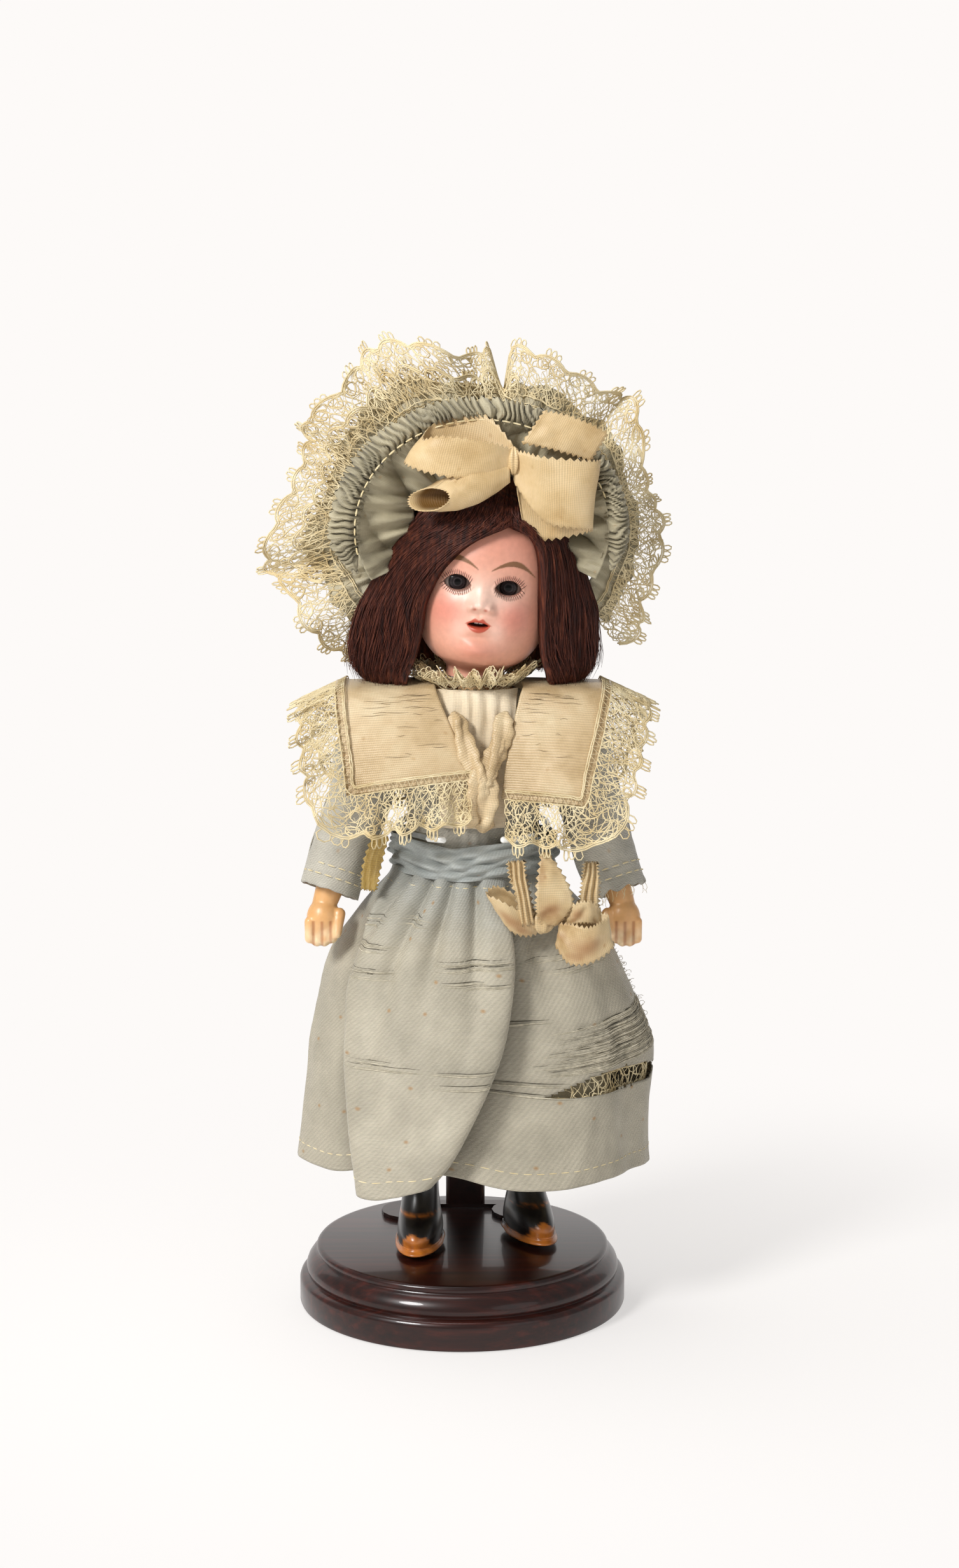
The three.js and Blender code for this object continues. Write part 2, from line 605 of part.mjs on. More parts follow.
// Head: half-width, front depth and back depth at heights above the head's centre.
const HEAD_TOP = 24;
const HEAD = [
  [-26, 8.7, 8.7, 8.7],
  [-24, 9.6, 12.4, 9.6],
  [-22, 12.4, 16.8, 11],
  [-19, 15.8, 19, 13.4],
  [-15, 18.2, 20.1, 16.4],
  [-10, 19.6, 20.6, 19],
  [-5, 20.1, 20.7, 20.5],
  [0, 20.1, 20.9, 21],
  [6, 19.4, 20.3, 20.6],
  [12, 17.2, 18.2, 18.6],
  [18, 12.9, 13.6, 14.4],
  [22, 7.6, 8, 8.6],
  [HEAD_TOP, 0.6, 0.6, 0.6],
];

// Relief of the face over the plain oval: nose, lips, chin, cheeks and eye hollows.
function relief(x, z) {
  const side = Math.abs(x);
  const nose = 3.3 * bump(side, 0, 2.5) * (z > -8.8 ? bump(z, -8.8, 4) : bump(z, -8.8, 1.5));
  const lips = 0.9 * bump(side, 0, 3.8) * (bump(z, -13.2, 1.2) + bump(z, -16.6, 1.3));
  const chin = 1.5 * bump(side, 0, 5) * bump(z, -20.4, 2.4);
  const cheeks = 1.1 * bump(side, 10, 5.5) * bump(z, -11, 5.5);
  const hollows = -1.5 * bump(side, EYE_X, 4.4) * bump(z, -EYE_DROP, 3);
  return nose + lips + chin + cheeks + hollows;
}

// Closed rings of the head in its own frame, centred on the head; push grows the plain oval.
function headRings(n, heights, push, detail) {
  return heights.map((z) => {
    const level = z * (1 + push / HEAD_TOP);
    const [a, front, back] = read(HEAD, z);
    return Array.from({ length: n }, (_, k) => {
      const even = (k / n) * Math.PI * 2 - Math.PI / 2;
      const turn = detail ? even - 0.28 * Math.sin(2 * (even + Math.PI / 2)) * 0.9 : even;
      const x = (a + push) * Math.cos(turn);
      const facing = Math.sin(turn) < 0;
      const out = facing && detail ? relief(x, z) : 0;
      const depth = (facing ? front : back) + push;
      return vec(x, depth * Math.sin(turn) - out * Math.max(0, -Math.sin(turn)), level);
    });
  });
}

const CHIN_ROWS = [-26, -24, -22.4, -20.4, -18.2, -16.6, -15, -13.2, -11.6, -10, -8.8, -6.6];
const BROW_ROWS = [-3.4, 0, 5, 10, 15, 19.5, 22.4, HEAD_TOP];

function headShape(push) {
  return solid(loft(headRings(14, HEAD.map((row) => row[0]), push, false)));
}

function almond(sign) {
  const lids = [[-1, -0.12], [-0.45, 0.85], [0.25, 1], [1, 0.04], [0.35, -0.85], [-0.45, -0.8], [-1, -0.12]];
  const points = smoothOutline(lids.map(([x, z]) => [x * EYE_HALF_W, z * EYE_HALF_H]), 14).slice(0, -1);
  return points.map(([x, z]) => [sign * (EYE_X + x), z - EYE_DROP]);
}

const headGroup = new THREE.Group();
headGroup.position.set(0, 0, NECK_Z);
headGroup.rotation.y = radians(HEAD_ROLL);
doll.add(headGroup);
const skull = new THREE.Group();
skull.position.z = HEAD_RISE;
headGroup.add(skull);
const EYE_Y = -EYE_FRONT + EYE_R;

// Crown cut: everything above a plane that leans to the back.
function crownBlock(lift) {
  return solid(block(-40, 40, -40, 40, 0, 40).rotateX(radians(-24)).translate(0, 0, CROWN_CUT + lift));
}

function head() {
  const outer = solid(loft(headRings(22, [...CHIN_ROWS, ...BROW_ROWS], 0, true)));
  const neck = union(
    solid(new THREE.SphereGeometry(NECK_BALL_R, 16, 10).translate(0, 0, -HEAD_RISE)),
    solid(rod(NECK_BALL_R, 9, 16).rotateX(Math.PI / 2).translate(0, 0, -HEAD_RISE + 4.5)));
  const inner = solid(loft(headRings(16, HEAD.slice(1, -1).map((row) => row[0]), -WALL, false)));
  const hollowNeck = union(
    solid(new THREE.SphereGeometry(NECK_BALL_R - WALL, 12, 8).translate(0, 0, -HEAD_RISE)),
    solid(rod(NECK_BALL_R - WALL, 14, 12).rotateX(Math.PI / 2).translate(0, 0, -HEAD_RISE + 7)));
  const hole = solid(rod(STRING_HOLE_R + 0.8, 10, 12).rotateX(Math.PI / 2).translate(0, 0, -HEAD_RISE - 8));
  const mouth = Array.from({ length: 12 }, (_, k) => {
    const turn = (k / 12) * Math.PI * 2;
    return [MOUTH_HALF_W * Math.cos(turn), MOUTH_HALF_H * Math.sin(turn) - MOUTH_DROP];
  });
  const eyes = SIDES.flatMap(([, s]) => [
    solid(frontPrism(almond(s), -30, EYE_Y)),
    solid(new THREE.SphereGeometry(EYE_R + GAP, 12, 8).translate(s * EYE_X, EYE_Y, -EYE_DROP)),
  ]);
  const cuts = [inner, hollowNeck, hole, solid(frontPrism(mouth, -30, -12)), ...eyes, crownBlock(0)];
  add(skull, "head", geometryOf(main(minus(union(outer, neck), ...cuts))), BISQUE);
  const cap = headShape(0).intersect(crownBlock(GAP)).subtract(
    headShape(-WALL).subtract(crownBlock(GAP + 6)));
  add(skull, "pate", geometryOf(main(cap)), CORK);
}

// Sleep eyes: both eyes turn on one axle, and a lead weight behind them shuts them when the doll lies down.
function sleepEyes() {
  const reach = EYE_X + EYE_R * 0.6;
  const stemFoot = vec(0, EYE_Y + 7, -EYE_DROP - 9);
  const stemLine = [vec(0, EYE_Y, -EYE_DROP), vec(0, EYE_Y + 3, -EYE_DROP - 4), stemFoot];
  const atFoot = (r) => solid(new THREE.SphereGeometry(r, 8, 6).translate(...stemFoot.toArray()));
  for (const [side, s] of SIDES) {
    const sphere = (r) => solid(new THREE.SphereGeometry(r, 14, 8).rotateX(Math.PI / 2)
      .translate(s * EYE_X, EYE_Y, -EYE_DROP));
    const bore = solid(rodX(AXLE_R + GAP, s * (EYE_X - EYE_R - 1), s * (reach + GAP), EYE_Y, -EYE_DROP, 10));
    add(skull, `eye_${side}`, geometryOf(minus(sphere(EYE_R), bore)), GLASS);
    const lump = solid(rodX(3.2, s * EYE_X, s * 20, EYE_Y + 3, -EYE_DROP, 12));
    const bearing = minus(lump.intersect(headShape(-WALL - GAP - FACET)), sphere(EYE_R + GAP));
    add(skull, `eye_bearing_${side}`, geometryOf(main(bearing)), PLASTER);
  }
  const axle = solid(rodX(AXLE_R, -reach, reach, EYE_Y, -EYE_DROP, 10));
  const stem = solid(tube(stemLine, AXLE_R, 6, 6));
  add(skull, "eye_rocker", geometryOf(union(axle, stem)), STEEL);
  const slot = solid(tube(stemLine, AXLE_R + GAP, 6, 6));
  const weight = minus(atFoot(WEIGHT_R), slot, atFoot(AXLE_R + GAP + 0.2));
  add(skull, "eye_weight", geometryOf(main(weight)), LEAD);
}

// Upper teeth, a strip of four under the upper lip.
function teeth() {
  const box = (w, d, h, x, y, z) => solid(new THREE.BoxGeometry(w, d, h).translate(x, y, z));
  const strip = [-1.5, -0.5, 0.5, 1.5].map((k) => box(0.98, 1, 1, k * 0.95, -18.6, -MOUTH_DROP + 0.1));
  const gum = box(3.8, 0.6, MOUTH_HALF_H + 2.2, 0, -16.8, -MOUTH_DROP + MOUTH_HALF_H + 0.4);
  const bridge = box(3.6, 1.8, 0.5, 0, -17.6, -MOUTH_DROP + 0.2);
  add(skull, "teeth", geometryOf(union(...strip, gum, bridge)), VINYL);
}

// Hair as one mass round the head, before the face is cut free: height, half-width, front, back.
const HAIR_FORM = [
  [HAIR_BOTTOM, 36.5, 14, 27],
  [HAIR_BOTTOM + 10, 33.5, 15.5, 27],
  [HAIR_BOTTOM + 20, 31, 18, 26.5],
  [HAIR_BOTTOM + 30, 29, 21, 26],
  [HAIR_BOTTOM + 40, 26.5, 22.5, 25],
  [HAIR_BOTTOM + 48, 22.5, 20.5, 22.5],
  [HAIR_BOTTOM + 55, 15.5, 14.5, 16.5],
  [HAIR_BOTTOM + 59.5, 6, 6, 7],
];

// The hairline round the face in the front view: x and height above the neck.
const HAIRLINE = [
  [-13.5, -8], [-14.6, 17], [-14.2, 25], [-10.4, 34.5], [-5.8, 39.6], [1, 44.6],
  [10.3, 48], [15.4, 45.6], [18, 37], [19.9, 20], [18.4, 11], [17.4, -8],
];

function hairMass(push, locks, n) {
  const rings = HAIR_FORM.map(([z, a, front, back], row) => {
    const lean = Math.tan(radians(HEAD_ROLL)) * Math.max(0, z - NECK_Z - 12) * 0.9;
    const ring = oval(n, z + (row === 0 ? -push : 0), a + push, front + push, back + push, lean, 0.5);
    return ring.map((p, k) => (locks && k % 2 ? vec(lerp(p.x, lean, locks), p.y * (1 - locks), p.z) : p));
  });
  return solid(loft(rings));
}

function wig() {
  const turn = new THREE.Matrix4().makeRotationY(radians(HEAD_ROLL)).setPosition(0, 0, NECK_Z);
  const rise = new THREE.Matrix4().makeTranslation(0, 0, HEAD_RISE);
  const placed = (rings) => loft(rings).applyMatrix4(rise).applyMatrix4(turn);
  const scalp = solid(placed(headRings(16, HEAD.map((row) => row[0]), GAP + FACET + 0.2, false)));
  const faceWindow = smoothOutline(HAIRLINE.map(([x, rise]) => [x, NECK_Z + rise]), 24);
  const face = solid(frontPrism(faceWindow, -60, 0));
  const nape = solid(rod(FRILL_OUT_R + 2.2, 60, 20).rotateX(Math.PI / 2).translate(0, 0, HAIR_BOTTOM - 22));
  const shape = minus(hairMass(0, 0.05, 30), scalp, face, nape);
  add(doll, "wig", geometryOf(main(shape)), HAIR);
}

// Bonnet rings are ovals round an axis along Y; turn 0 points to +X and a quarter turn points up.
// Past the brim they widen towards the frill's own rounder, shifted oval.
function hatPoint(turn, out, y) {
  const free = THREE.MathUtils.clamp((out - HAT_A) / (FRILL_LACE_OUT - HAT_A), 0, 1);
  const lift = lerp(HAT_B / HAT_A, FRILL_LIFT, free);
  return vec(HAT_X - FRILL_SHIFT * free + out * Math.cos(turn), y, HAT_Z + out * lift * Math.sin(turn));
}

function hatRing(n, out, y) {
  return Array.from({ length: n }, (_, k) => hatPoint((k / n) * Math.PI * 2, out, y));
}

const BRIM_FROM = radians(-18);
const BRIM_TO = radians(200);

// The wedge below the bonnet's two lower ends, open to the neck.
function belowHat() {
  const reach = 120;
  const end = (turn) => [HAT_X + reach * Math.cos(turn), HAT_Z + reach * Math.sin(turn)];
  const wedge = [[HAT_X, HAT_Z - 2], end(BRIM_TO), [HAT_X, HAT_Z - reach], end(BRIM_FROM)];
  return solid(frontPrism(wedge, -60, 80));
}

function bonnet() {
  const hair = hairMass(GAP + 0.5, 0, 18);
  const rim = HAT_A - ROLL_R - GAP;
  const crown = solid(loft([
    hatRing(24, rim - 2.5, -1),
    hatRing(24, rim - 2, 8),
    hatRing(24, rim - 4, 18),
    hatRing(24, rim - 12, 28),
    hatRing(24, rim - 22, 33.5),
    hatRing(24, 6, HAT_DEPTH),
  ]));
  add(doll, "hat_crown", geometryOf(main(minus(crown, hair, belowHat()))), SILK);
  const funnel = solid(loft([
    hatRing(36, rim - 9, -1.4),
    hatRing(36, rim - 0.2, ROLL_Y - 0.5),
    hatRing(36, rim, ROLL_Y + 1.6),
    hatRing(36, rim - 7, -1.4),
  ], true));
  add(doll, "hat_brim", geometryOf(main(minus(funnel, hair, belowHat()))), SILK);
  // Shirred roll along the brim's edge, two rings to each gather.
  const steps = ROLL_RIBS * 2;
  const rings = Array.from({ length: steps + 1 }, (_, i) => {
    const turn = lerp(BRIM_FROM, BRIM_TO, i / steps);
    const radius = (i % 2 ? 0.9 : 1) * ROLL_R * (i === 0 || i === steps ? 0.6 : 1);
    return Array.from({ length: 6 }, (_, k) => {
      const around = (k / 6) * Math.PI * 2;
      return hatPoint(turn, HAT_A + radius * Math.cos(around), ROLL_Y + radius * Math.sin(around));
    });
  });
  add(doll, "hat_brim_roll", geometryOf(main(solid(loft(rings)).subtract(hair))), SILK);
  const silk = ruffle(rim + 0.2, FRILL_SILK_OUT, 0, CLOTH, 44, 0);
  add(doll, "hat_frill", geometryOf(main(silk.subtract(hair))), SILK);
  const lace = ruffle(FRILL_SILK_OUT - 3, FRILL_LACE_OUT, -LACE - GAP - 0.3, LACE, 46, 1.6);
  add(doll, "hat_lace", geometryOf(main(lace.subtract(hair))), NET);
}

// A standing ruffle round the bonnet: waves deepen to the outer edge, and lace ends in scallops.
function ruffle(inR, outR, shift, thickness, steps, scallop) {
  const from = radians(-41);
  const to = radians(226);
  const wave = (turn, out) => {
    const free = (out - HAT_A + ROLL_R) / (FRILL_LACE_OUT - HAT_A);
    return 2 + 7 * free + 3.2 * free * Math.sin(FRILL_WAVES * (turn - from) * 1.38);
  };
  const [front, back] = [[], []];
  for (let i = 0; i <= steps; i += 1) {
    const turn = lerp(from, to, i / steps);
    const edge = outR + (i % 2 ? scallop : 0) - 3.5 * bump(turn, radians(80), 0.06);
    const stations = inR < HAT_A ? [inR, HAT_A, edge] : [inR, edge];
    front.push(stations.map((out) => hatPoint(turn, out, wave(turn, out) + shift)));
    back.push(stations.map((out) => hatPoint(turn, out, wave(turn, out) + shift + thickness)));
  }
  return solid(slab(front, back));
}

// A ribbon loop: a flat teardrop seen from above, as tall as the ribbon is wide, pointing along +X.
function ribbonLoop(length, bulge, width) {
  const drop = (l, b, x0) => {
    const shape = new THREE.Path();
    shape.moveTo(x0, 0);
    shape.bezierCurveTo(l * 0.25, -b * 0.7, l * 0.6, -b, l * 0.86, -b * 0.6);
    shape.bezierCurveTo(l * 1.04, -b * 0.25, l * 1.04, b * 0.25, l * 0.86, b * 0.6);
    shape.bezierCurveTo(l * 0.6, b, l * 0.25, b * 0.7, x0, 0);
    return shape;
  };
  const outline = new THREE.Shape(drop(length, bulge, 0).getPoints(4));
  outline.holes.push(new THREE.Path(drop(length - RIBBON, bulge - RIBBON, 2.4).getPoints(4)));
  const band = new THREE.ExtrudeGeometry(outline, { depth: width, bevelEnabled: false });
  return band.translate(0, 0, -width / 2);
}

function ribbonTail(length, width) {
  const half = width / 2;
  const outline = [[0, 1 - half], [length, -half], [length - 3, 0], [length, half], [0, half - 1]];
  const shape = new THREE.Shape(outline.map(([x, y]) => new THREE.Vector2(x, y)));
  return new THREE.ExtrudeGeometry(shape, { depth: RIBBON, bevelEnabled: false }).rotateX(Math.PI / 2);
}

function place(parent, name, geometry, look, position, tilt, pitch = 0) {
  const mesh = add(parent, name, closed(geometry), look);
  mesh.position.set(...position);
  mesh.rotation.set(radians(pitch), radians(tilt), 0);
  return mesh;
}

// Bow at the bonnet's brim, left and right of its knot.
function hatBow() {
  const flat = 0.72;
  const tailY = ROLL_Y - ROLL_R * Math.sin(Math.PI / 3) - GAP;
  const y = tailY - RIBBON - GAP - KNOT_R * flat;
  const x = HAT_X + 9.6;
  const z = HAT_Z + 21;
  const knot = new THREE.SphereGeometry(KNOT_R, 12, 8).scale(0.9, flat, 1.2);
  add(doll, "hat_bow_knot", knot.translate(x, y, z), SATIN);
  place(doll, "hat_bow_left", ribbonLoop(27, 3, BOW_W), SATIN, [x - 3.9, y, z + 1.5], 196);
  place(doll, "hat_bow_lower", ribbonLoop(22, 2.6, 7), SATIN, [x - 4.6, y - 0.3, z - 8.4], 172);
  place(doll, "hat_bow_right", ribbonLoop(23, 3, BOW_W + 3), SATIN, [x + 4.1, y, z - 2.5], 58);
  place(doll, "hat_bow_tail", ribbonTail(25, 10), SATIN, [x + 1.6, tailY, z + 4.6], -22);
}

// Clothes on the body
function bodice() {
  const cloth = torsoShell(GAP, CLOTH, WAIST_Z - 2, NECK_Z - 4.5);
  const holeR = ARM_TOP_R + GAP + 0.2;
  const armholes = SIDES.map(([, s]) => solid(rodX(holeR, s * 12, s * 40, 0, SHOULDER_Z, 14)));
  add(doll, "bodice", geometryOf(main(minus(cloth, ...armholes))), SILK);
}

const BODICE_OUT = GAP + CLOTH;
const ARMHOLE_X = SHOULDER_GIRTH + BODICE_OUT + GAP;

function dressSleeves() {
  for (const [side, s] of SIDES) {
    const radii = [[0, SLEEVE_TOP_R - 0.8], [14, 9.6], [32, 9.4], [CUFF_DROP, CUFF_R]];
    const shape = (push, extra) => solid(loft([...radii, ...extra].map(([drop, r]) => {
      const [x, y] = armCentre(drop);
      return oval(12, SHOULDER_Z - drop, r + push, r + push + 0.6, r + push + 0.6, s * x, y);
    })));
    const cap = (r, x) => {
      const profile = [[0, 10], [r, 10], [r, x], [r - 2.2, x + 5], [0, x + 7.5]];
      return solid(turnedAboutX(profile, 14, s).translate(0, 0, SHOULDER_Z));
    };
    const capX = SHOULDER_HALF + 10.5;
    const outer = union(shape(0, []), cap(SLEEVE_TOP_R, capX));
    const inner = union(shape(-CLOTH, [[CUFF_DROP + 4, CUFF_R]]), cap(SLEEVE_TOP_R - CLOTH, capX - CLOTH));
    const [x0, x1] = s > 0 ? [0, ARMHOLE_X] : [-ARMHOLE_X, 0];
    const inboard = solid(block(x0, x1, -40, 40, WAIST_Z - 60, NECK_Z + 60));
    add(doll, `sleeve_${side}`, geometryOf(main(minus(outer, inner, inboard))), SILK);
  }
}

// Skirt girth down from the waist: share of the drop, half-width, front, back.
const SKIRT_TOP = WAIST_Z + SKIRT_LAP;
const SKIRT_OUT = BODICE_OUT + GAP + FACET + CLOTH;
const skirtTopGirth = read(TORSO, SKIRT_TOP).map((r) => r + SKIRT_OUT);
const SKIRT = [
  [0, ...skirtTopGirth],
  [0.05, skirtTopGirth[0] + 1.8, skirtTopGirth[1] + 1.8, skirtTopGirth[2] + 1.2],
  [0.17, 34, 27.5, 21.5],
  [0.31, 38.4, 33, 24],
  [0.43, 46.5, 36.5, 25.5],
  [0.7, 52, 40.5, 26.5],
  [1, 53.5, 42.5, 27],
];

// Depth of the folds at an angle from the front (degrees, to +X) and a share of the drop.
function skirtFold(angle, share) {
  const panel = lerp(26, -8, share ** 1.3);
  const lap = lerp(-68, -40, share);
  const soft = Math.min(1, share * 5);
  const pleats = [-60, -28, 2, 52, 80].reduce((sum, at) => sum + 1.8 * bump(angle, at, 7), 0);
  const gathers = Math.abs(angle) > 95 ? 0.54 * (1 - Math.cos(radians(angle * 11))) : 0;
  const folds = 5.4 * bump(angle, panel, 8) + 3.2 * bump(angle, lap, 6) + 1.6 * bump(angle, 48, 9);
  return soft * (folds + pleats * bump(share, 0.14, 0.16) + gathers);
}

function skirtRing(share, push, n, hem) {
  const [a, front, back] = read(SKIRT, share);
  return Array.from({ length: n }, (_, k) => {
    const turn = (k / n) * Math.PI * 2;
    let angle = (turn * 180) / Math.PI + 90;
    if (angle > 180) angle -= 360;
    const inward = skirtFold(angle, share) - push;
    const depth = Math.sin(turn) < 0 ? front : back;
    const z = lerp(SKIRT_TOP, hem, share);
    return vec((a - inward) * Math.cos(turn), (depth - inward) * Math.sin(turn), z);
  });
}

function skirts() {
  const shares = [0, 0.05, 0.14, 0.24, 0.34, 0.46, 0.7, 1];
  const outside = shares.map((share) => skirtRing(share, 0, 42, HEM_Z));
  const inside = shares.map((share) => skirtRing(share, -CLOTH, 42, HEM_Z));
  add(doll, "skirt", loft([...outside, ...inside.reverse()], true), SILK);
  // The petticoat hangs from its own band under the bodice's edge.
  const band = read(TORSO, WAIST_Z - 4).map((r) => r + BODICE_OUT);
  const top = WAIST_Z - 3;
  const levels = [
    [0, ...band],
    [0.06, 24.5, 19.6, 17.4],
    [0.3, 30, 24.4, 19],
    [0.5, 38, 28, 20.5],
    [1, 46.5, 34, 22],
  ];
  const rings = (push) => levels.map(([share, a, front, back]) => oval(
    16, lerp(top, PETTICOAT_HEM_Z, share), a - push, front - push, back - push));
  add(doll, "petticoat", loft([...rings(0), ...rings(CLOTH).reverse()], true), NET);
}

function sash() {
  const inner = SKIRT_OUT + GAP + FACET;
  const rows = [0, 0.3, 0.45, 0.72, 1];
  const rings = (push, fold) => rows.map((share, i) => {
    const [a, front, back] = read(TORSO, SKIRT_TOP);
    const flare = share < 0.3 ? 0.9 * (0.3 - share) : 0;
    const r = inner + push + flare + (i % 2 ? fold : 0);
    return oval(BODY_N, WAIST_Z + SASH_LIFT + SASH_H * share, a + r, front + r, back + r);
  });
  add(doll, "sash", loft([...rings(SASH_T, 0.5), ...rings(0, 0).reverse()], true), SILK);
}

// Collar: two stiff silk panels from the front over the shoulders to the back. Each station along
// the panel gives the inner and outer edges: inner x, outer x, front or back y at each, and z.
const COLLAR = [
  [7.4, 35.5, -20.6, -24.6, COLLAR_FRONT_Z + 3, COLLAR_FRONT_Z],
  [8, 37, -19.2, -21.6, COLLAR_FRONT_Z + 9, COLLAR_FRONT_Z + 8],
  [9.4, 39, -17.6, -18.4, COLLAR_FRONT_Z + 18, COLLAR_FRONT_Z + 17],
  [11.2, 40.4, -13.4, -14, COLLAR_TOP - 3, COLLAR_TOP - 4],
  [COLLAR_IN, COLLAR_OUT, -8.4, -8.4, COLLAR_TOP, COLLAR_TOP - 1],
  [COLLAR_IN, COLLAR_OUT, 6, 7, COLLAR_TOP, COLLAR_TOP - 1],
  [9, 40, 14, 14.6, COLLAR_TOP - 3.4, COLLAR_TOP - 4.4],
  [2, 38, 16.4, 17.4, COLLAR_BACK_Z + 10, COLLAR_BACK_Z + 9],
  [1, 36, 17, 19, COLLAR_BACK_Z, COLLAR_BACK_Z],
];

function collarPoint(row, u, s) {
  const [xi, xo, yi, yo, zi, zo] = COLLAR[row];
  return vec(s * lerp(xi, xo, u), lerp(yi, yo, u), lerp(zi, zo, u));
}

function collars() {
  const columns = [0, 0.25, 0.5, 0.75, 1];
  for (const [side, s] of SIDES) {
    const tops = columns.map((u) => COLLAR.map((_, row) => collarPoint(row, u, s)));
    const unders = tops.map((top) => top.map((p, row) => {
      const before = top[Math.max(0, row - 1)];
      const after = top[Math.min(top.length - 1, row + 1)];
      const along = after.clone().sub(before);
      const inward = vec(0, along.z, -along.y).normalize();
      return p.clone().addScaledVector(inward, CLOTH);
    }));
    add(doll, `collar_${side}`, slab(tops, unders), SATIN);
    add(doll, `collar_lace_${side}`, collarLace(s), NET);
  }
}

// Lace gathered along a panel's front, outer and back edges, with a scalloped rim.
function collarLace(s) {
  const rows = COLLAR.length - 1;
  const border = [];
  const along = (row, u, way, width) => border.push([collarPoint(row, u, s), vec(...way).normalize(), width]);
  for (const u of [0, 0.22, 0.44, 0.66, 0.88]) along(0, u, [0, -0.27, -1], LACE_FRONT_W);
  along(0, 1, [s * 0.5, -0.3, -0.8], LACE_FRONT_W);
  for (let row = 1; row < rows; row += 1) {
    const fall = -0.12 - 0.25 * bump(row, 0.6, 1.3) - 0.25 * bump(row, 7.4, 1.3);
    along(row, 1, [s, row < 4 ? -0.18 : 0.12, fall], LACE_SIDE_W);
  }
  along(rows, 1, [s * 0.5, 0.3, -0.8], LACE_SIDE_W);
  for (const u of [0.75, 0.4, 0.05]) along(rows, u, [0, 0.18, -1], LACE_SIDE_W);
  const curve = (pick) => new THREE.CatmullRomCurve3(border.map(pick), false, "centripetal");
  const edge = curve(([p, way]) => p.clone().addScaledVector(way, GAP + FACET));
  const rim = curve(([p, way, width]) => p.clone().addScaledVector(way, width));
  const steps = 32;
  const [front, back] = [[], []];
  for (let i = 0; i <= steps; i += 1) {
    const t = i / steps;
    const inner = edge.getPoint(t);
    const outer = rim.getPoint(t);
    const across = outer.clone().sub(inner);
    const normal = across.clone().cross(edge.getTangent(t)).normalize().multiplyScalar(s);
    outer.addScaledVector(across, i % 2 ? 0 : -0.07);
    const middle = inner.clone().lerp(outer, 0.55).addScaledVector(normal, -0.6 * Math.sin(i * 0.9));
    front.push([inner, middle, outer]);
    back.push([inner, middle, outer].map((p) => p.clone().addScaledVector(normal, LACE)));
  }
  return slab(front, back);
}

function vestAndTie() {
  const edge = [[9, CLIP_Z + 4], [12.5, NECK_Z - 12], [11, NECK_Z - 5]];
  const outline = [...edge, ...edge.map(([x, z]) => [-x, z]).reverse()];
  const plate = torsoShell(BODICE_OUT + GAP, CLOTH, WAIST_Z + SASH_H + 1, NECK_Z - 4.5).intersect(
    solid(frontPrism(outline, -60, -4)));
  add(doll, "vest", geometryOf(main(plate)), SATIN);
  const out = BODICE_OUT + GAP + CLOTH + GAP;
  const [, chest] = read(TORSO, SHOULDER_Z - 8);
  const y = -(chest + out + 2.4);
  const strand = (points, r) => solid(tube(points, r, 6, 4));
  const knotZ = SHOULDER_Z - 11;
  const shape = union(
    strand([vec(-7.5, y + 3, NECK_Z - 7), vec(-3.5, y + 1.2, SHOULDER_Z - 1), vec(0, y - 0.5, knotZ)], 2.1),
    strand([vec(7.5, y + 3, NECK_Z - 7), vec(4, y + 1.2, SHOULDER_Z - 1), vec(1, y - 0.5, knotZ)], 2.1),
    strand([vec(0, y - 0.5, knotZ), vec(-1.4, y - 0.6, knotZ - 9), vec(2.2, y - 0.8, CLIP_Z + 1)], 2.2),
    strand([vec(1, y - 0.5, knotZ), vec(4, y - 0.6, knotZ - 8), vec(4.4, y - 0.8, CLIP_Z + 3)], 2),
    solid(new THREE.SphereGeometry(3.1, 10, 6).translate(0.6, y - 1.2, knotZ)));
  add(doll, "tie", geometryOf(shape), SATIN);
}

function neckFrill() {
  const n = 39;
  const ring = (r, share, push) => Array.from({ length: n }, (_, k) => {
    const turn = (k / n) * Math.PI * 2;
    const wave = 0.75 * share * Math.sin(13 * turn);
    return vec(r * Math.cos(turn), r * Math.sin(turn), NECK_Z - 0.8 + FRILL_RISE * share + wave + push);
  });
  const rows = [0, 1];
  const face = (push) => rows.map((share) => ring(lerp(FRILL_IN_R, FRILL_OUT_R, share ** 0.8), share, push));
  add(doll, "neck_frill", loft([...face(0), ...face(LACE).reverse()], true), NET);
}

// Ribbon bow on the sash at the doll's left; its loops fall forward over the skirt.
function hipBow() {
  const x = 15;
  const z = WAIST_Z + 1;
  const [a, front] = read(TORSO, SKIRT_TOP).map((r) => r + SKIRT_OUT + GAP + FACET + SASH_T + 0.5);
  const depth = 5;
  const y = -front * Math.sqrt(1 - (x / a) ** 2) - GAP - depth;
  const knot = new THREE.SphereGeometry(KNOT_R, 10, 8).scale(1, depth / KNOT_R, 1.1);
  add(doll, "hip_bow_knot", knot.translate(x, y, z), SATIN);
  place(doll, "hip_bow_upper", ribbonLoop(13, 2.6, 10), SATIN, [x + 2.5, y - 1.6, z + 3.7], -42, 0);
  place(doll, "hip_bow_inner", ribbonLoop(14, 2.8, 10), SATIN, [x - 3.7, y - 1.6, z - 2], 152, -28);
  place(doll, "hip_bow_outer", ribbonLoop(16, 2.8, 11), SATIN, [x + 3.7, y - 1.8, z - 2.4], 34, -34);
  place(doll, "hip_bow_lower", ribbonLoop(17, 2.6, 11), SATIN, [x - 0.4, y - 7.8, z - 4.6], 84, -30);
}

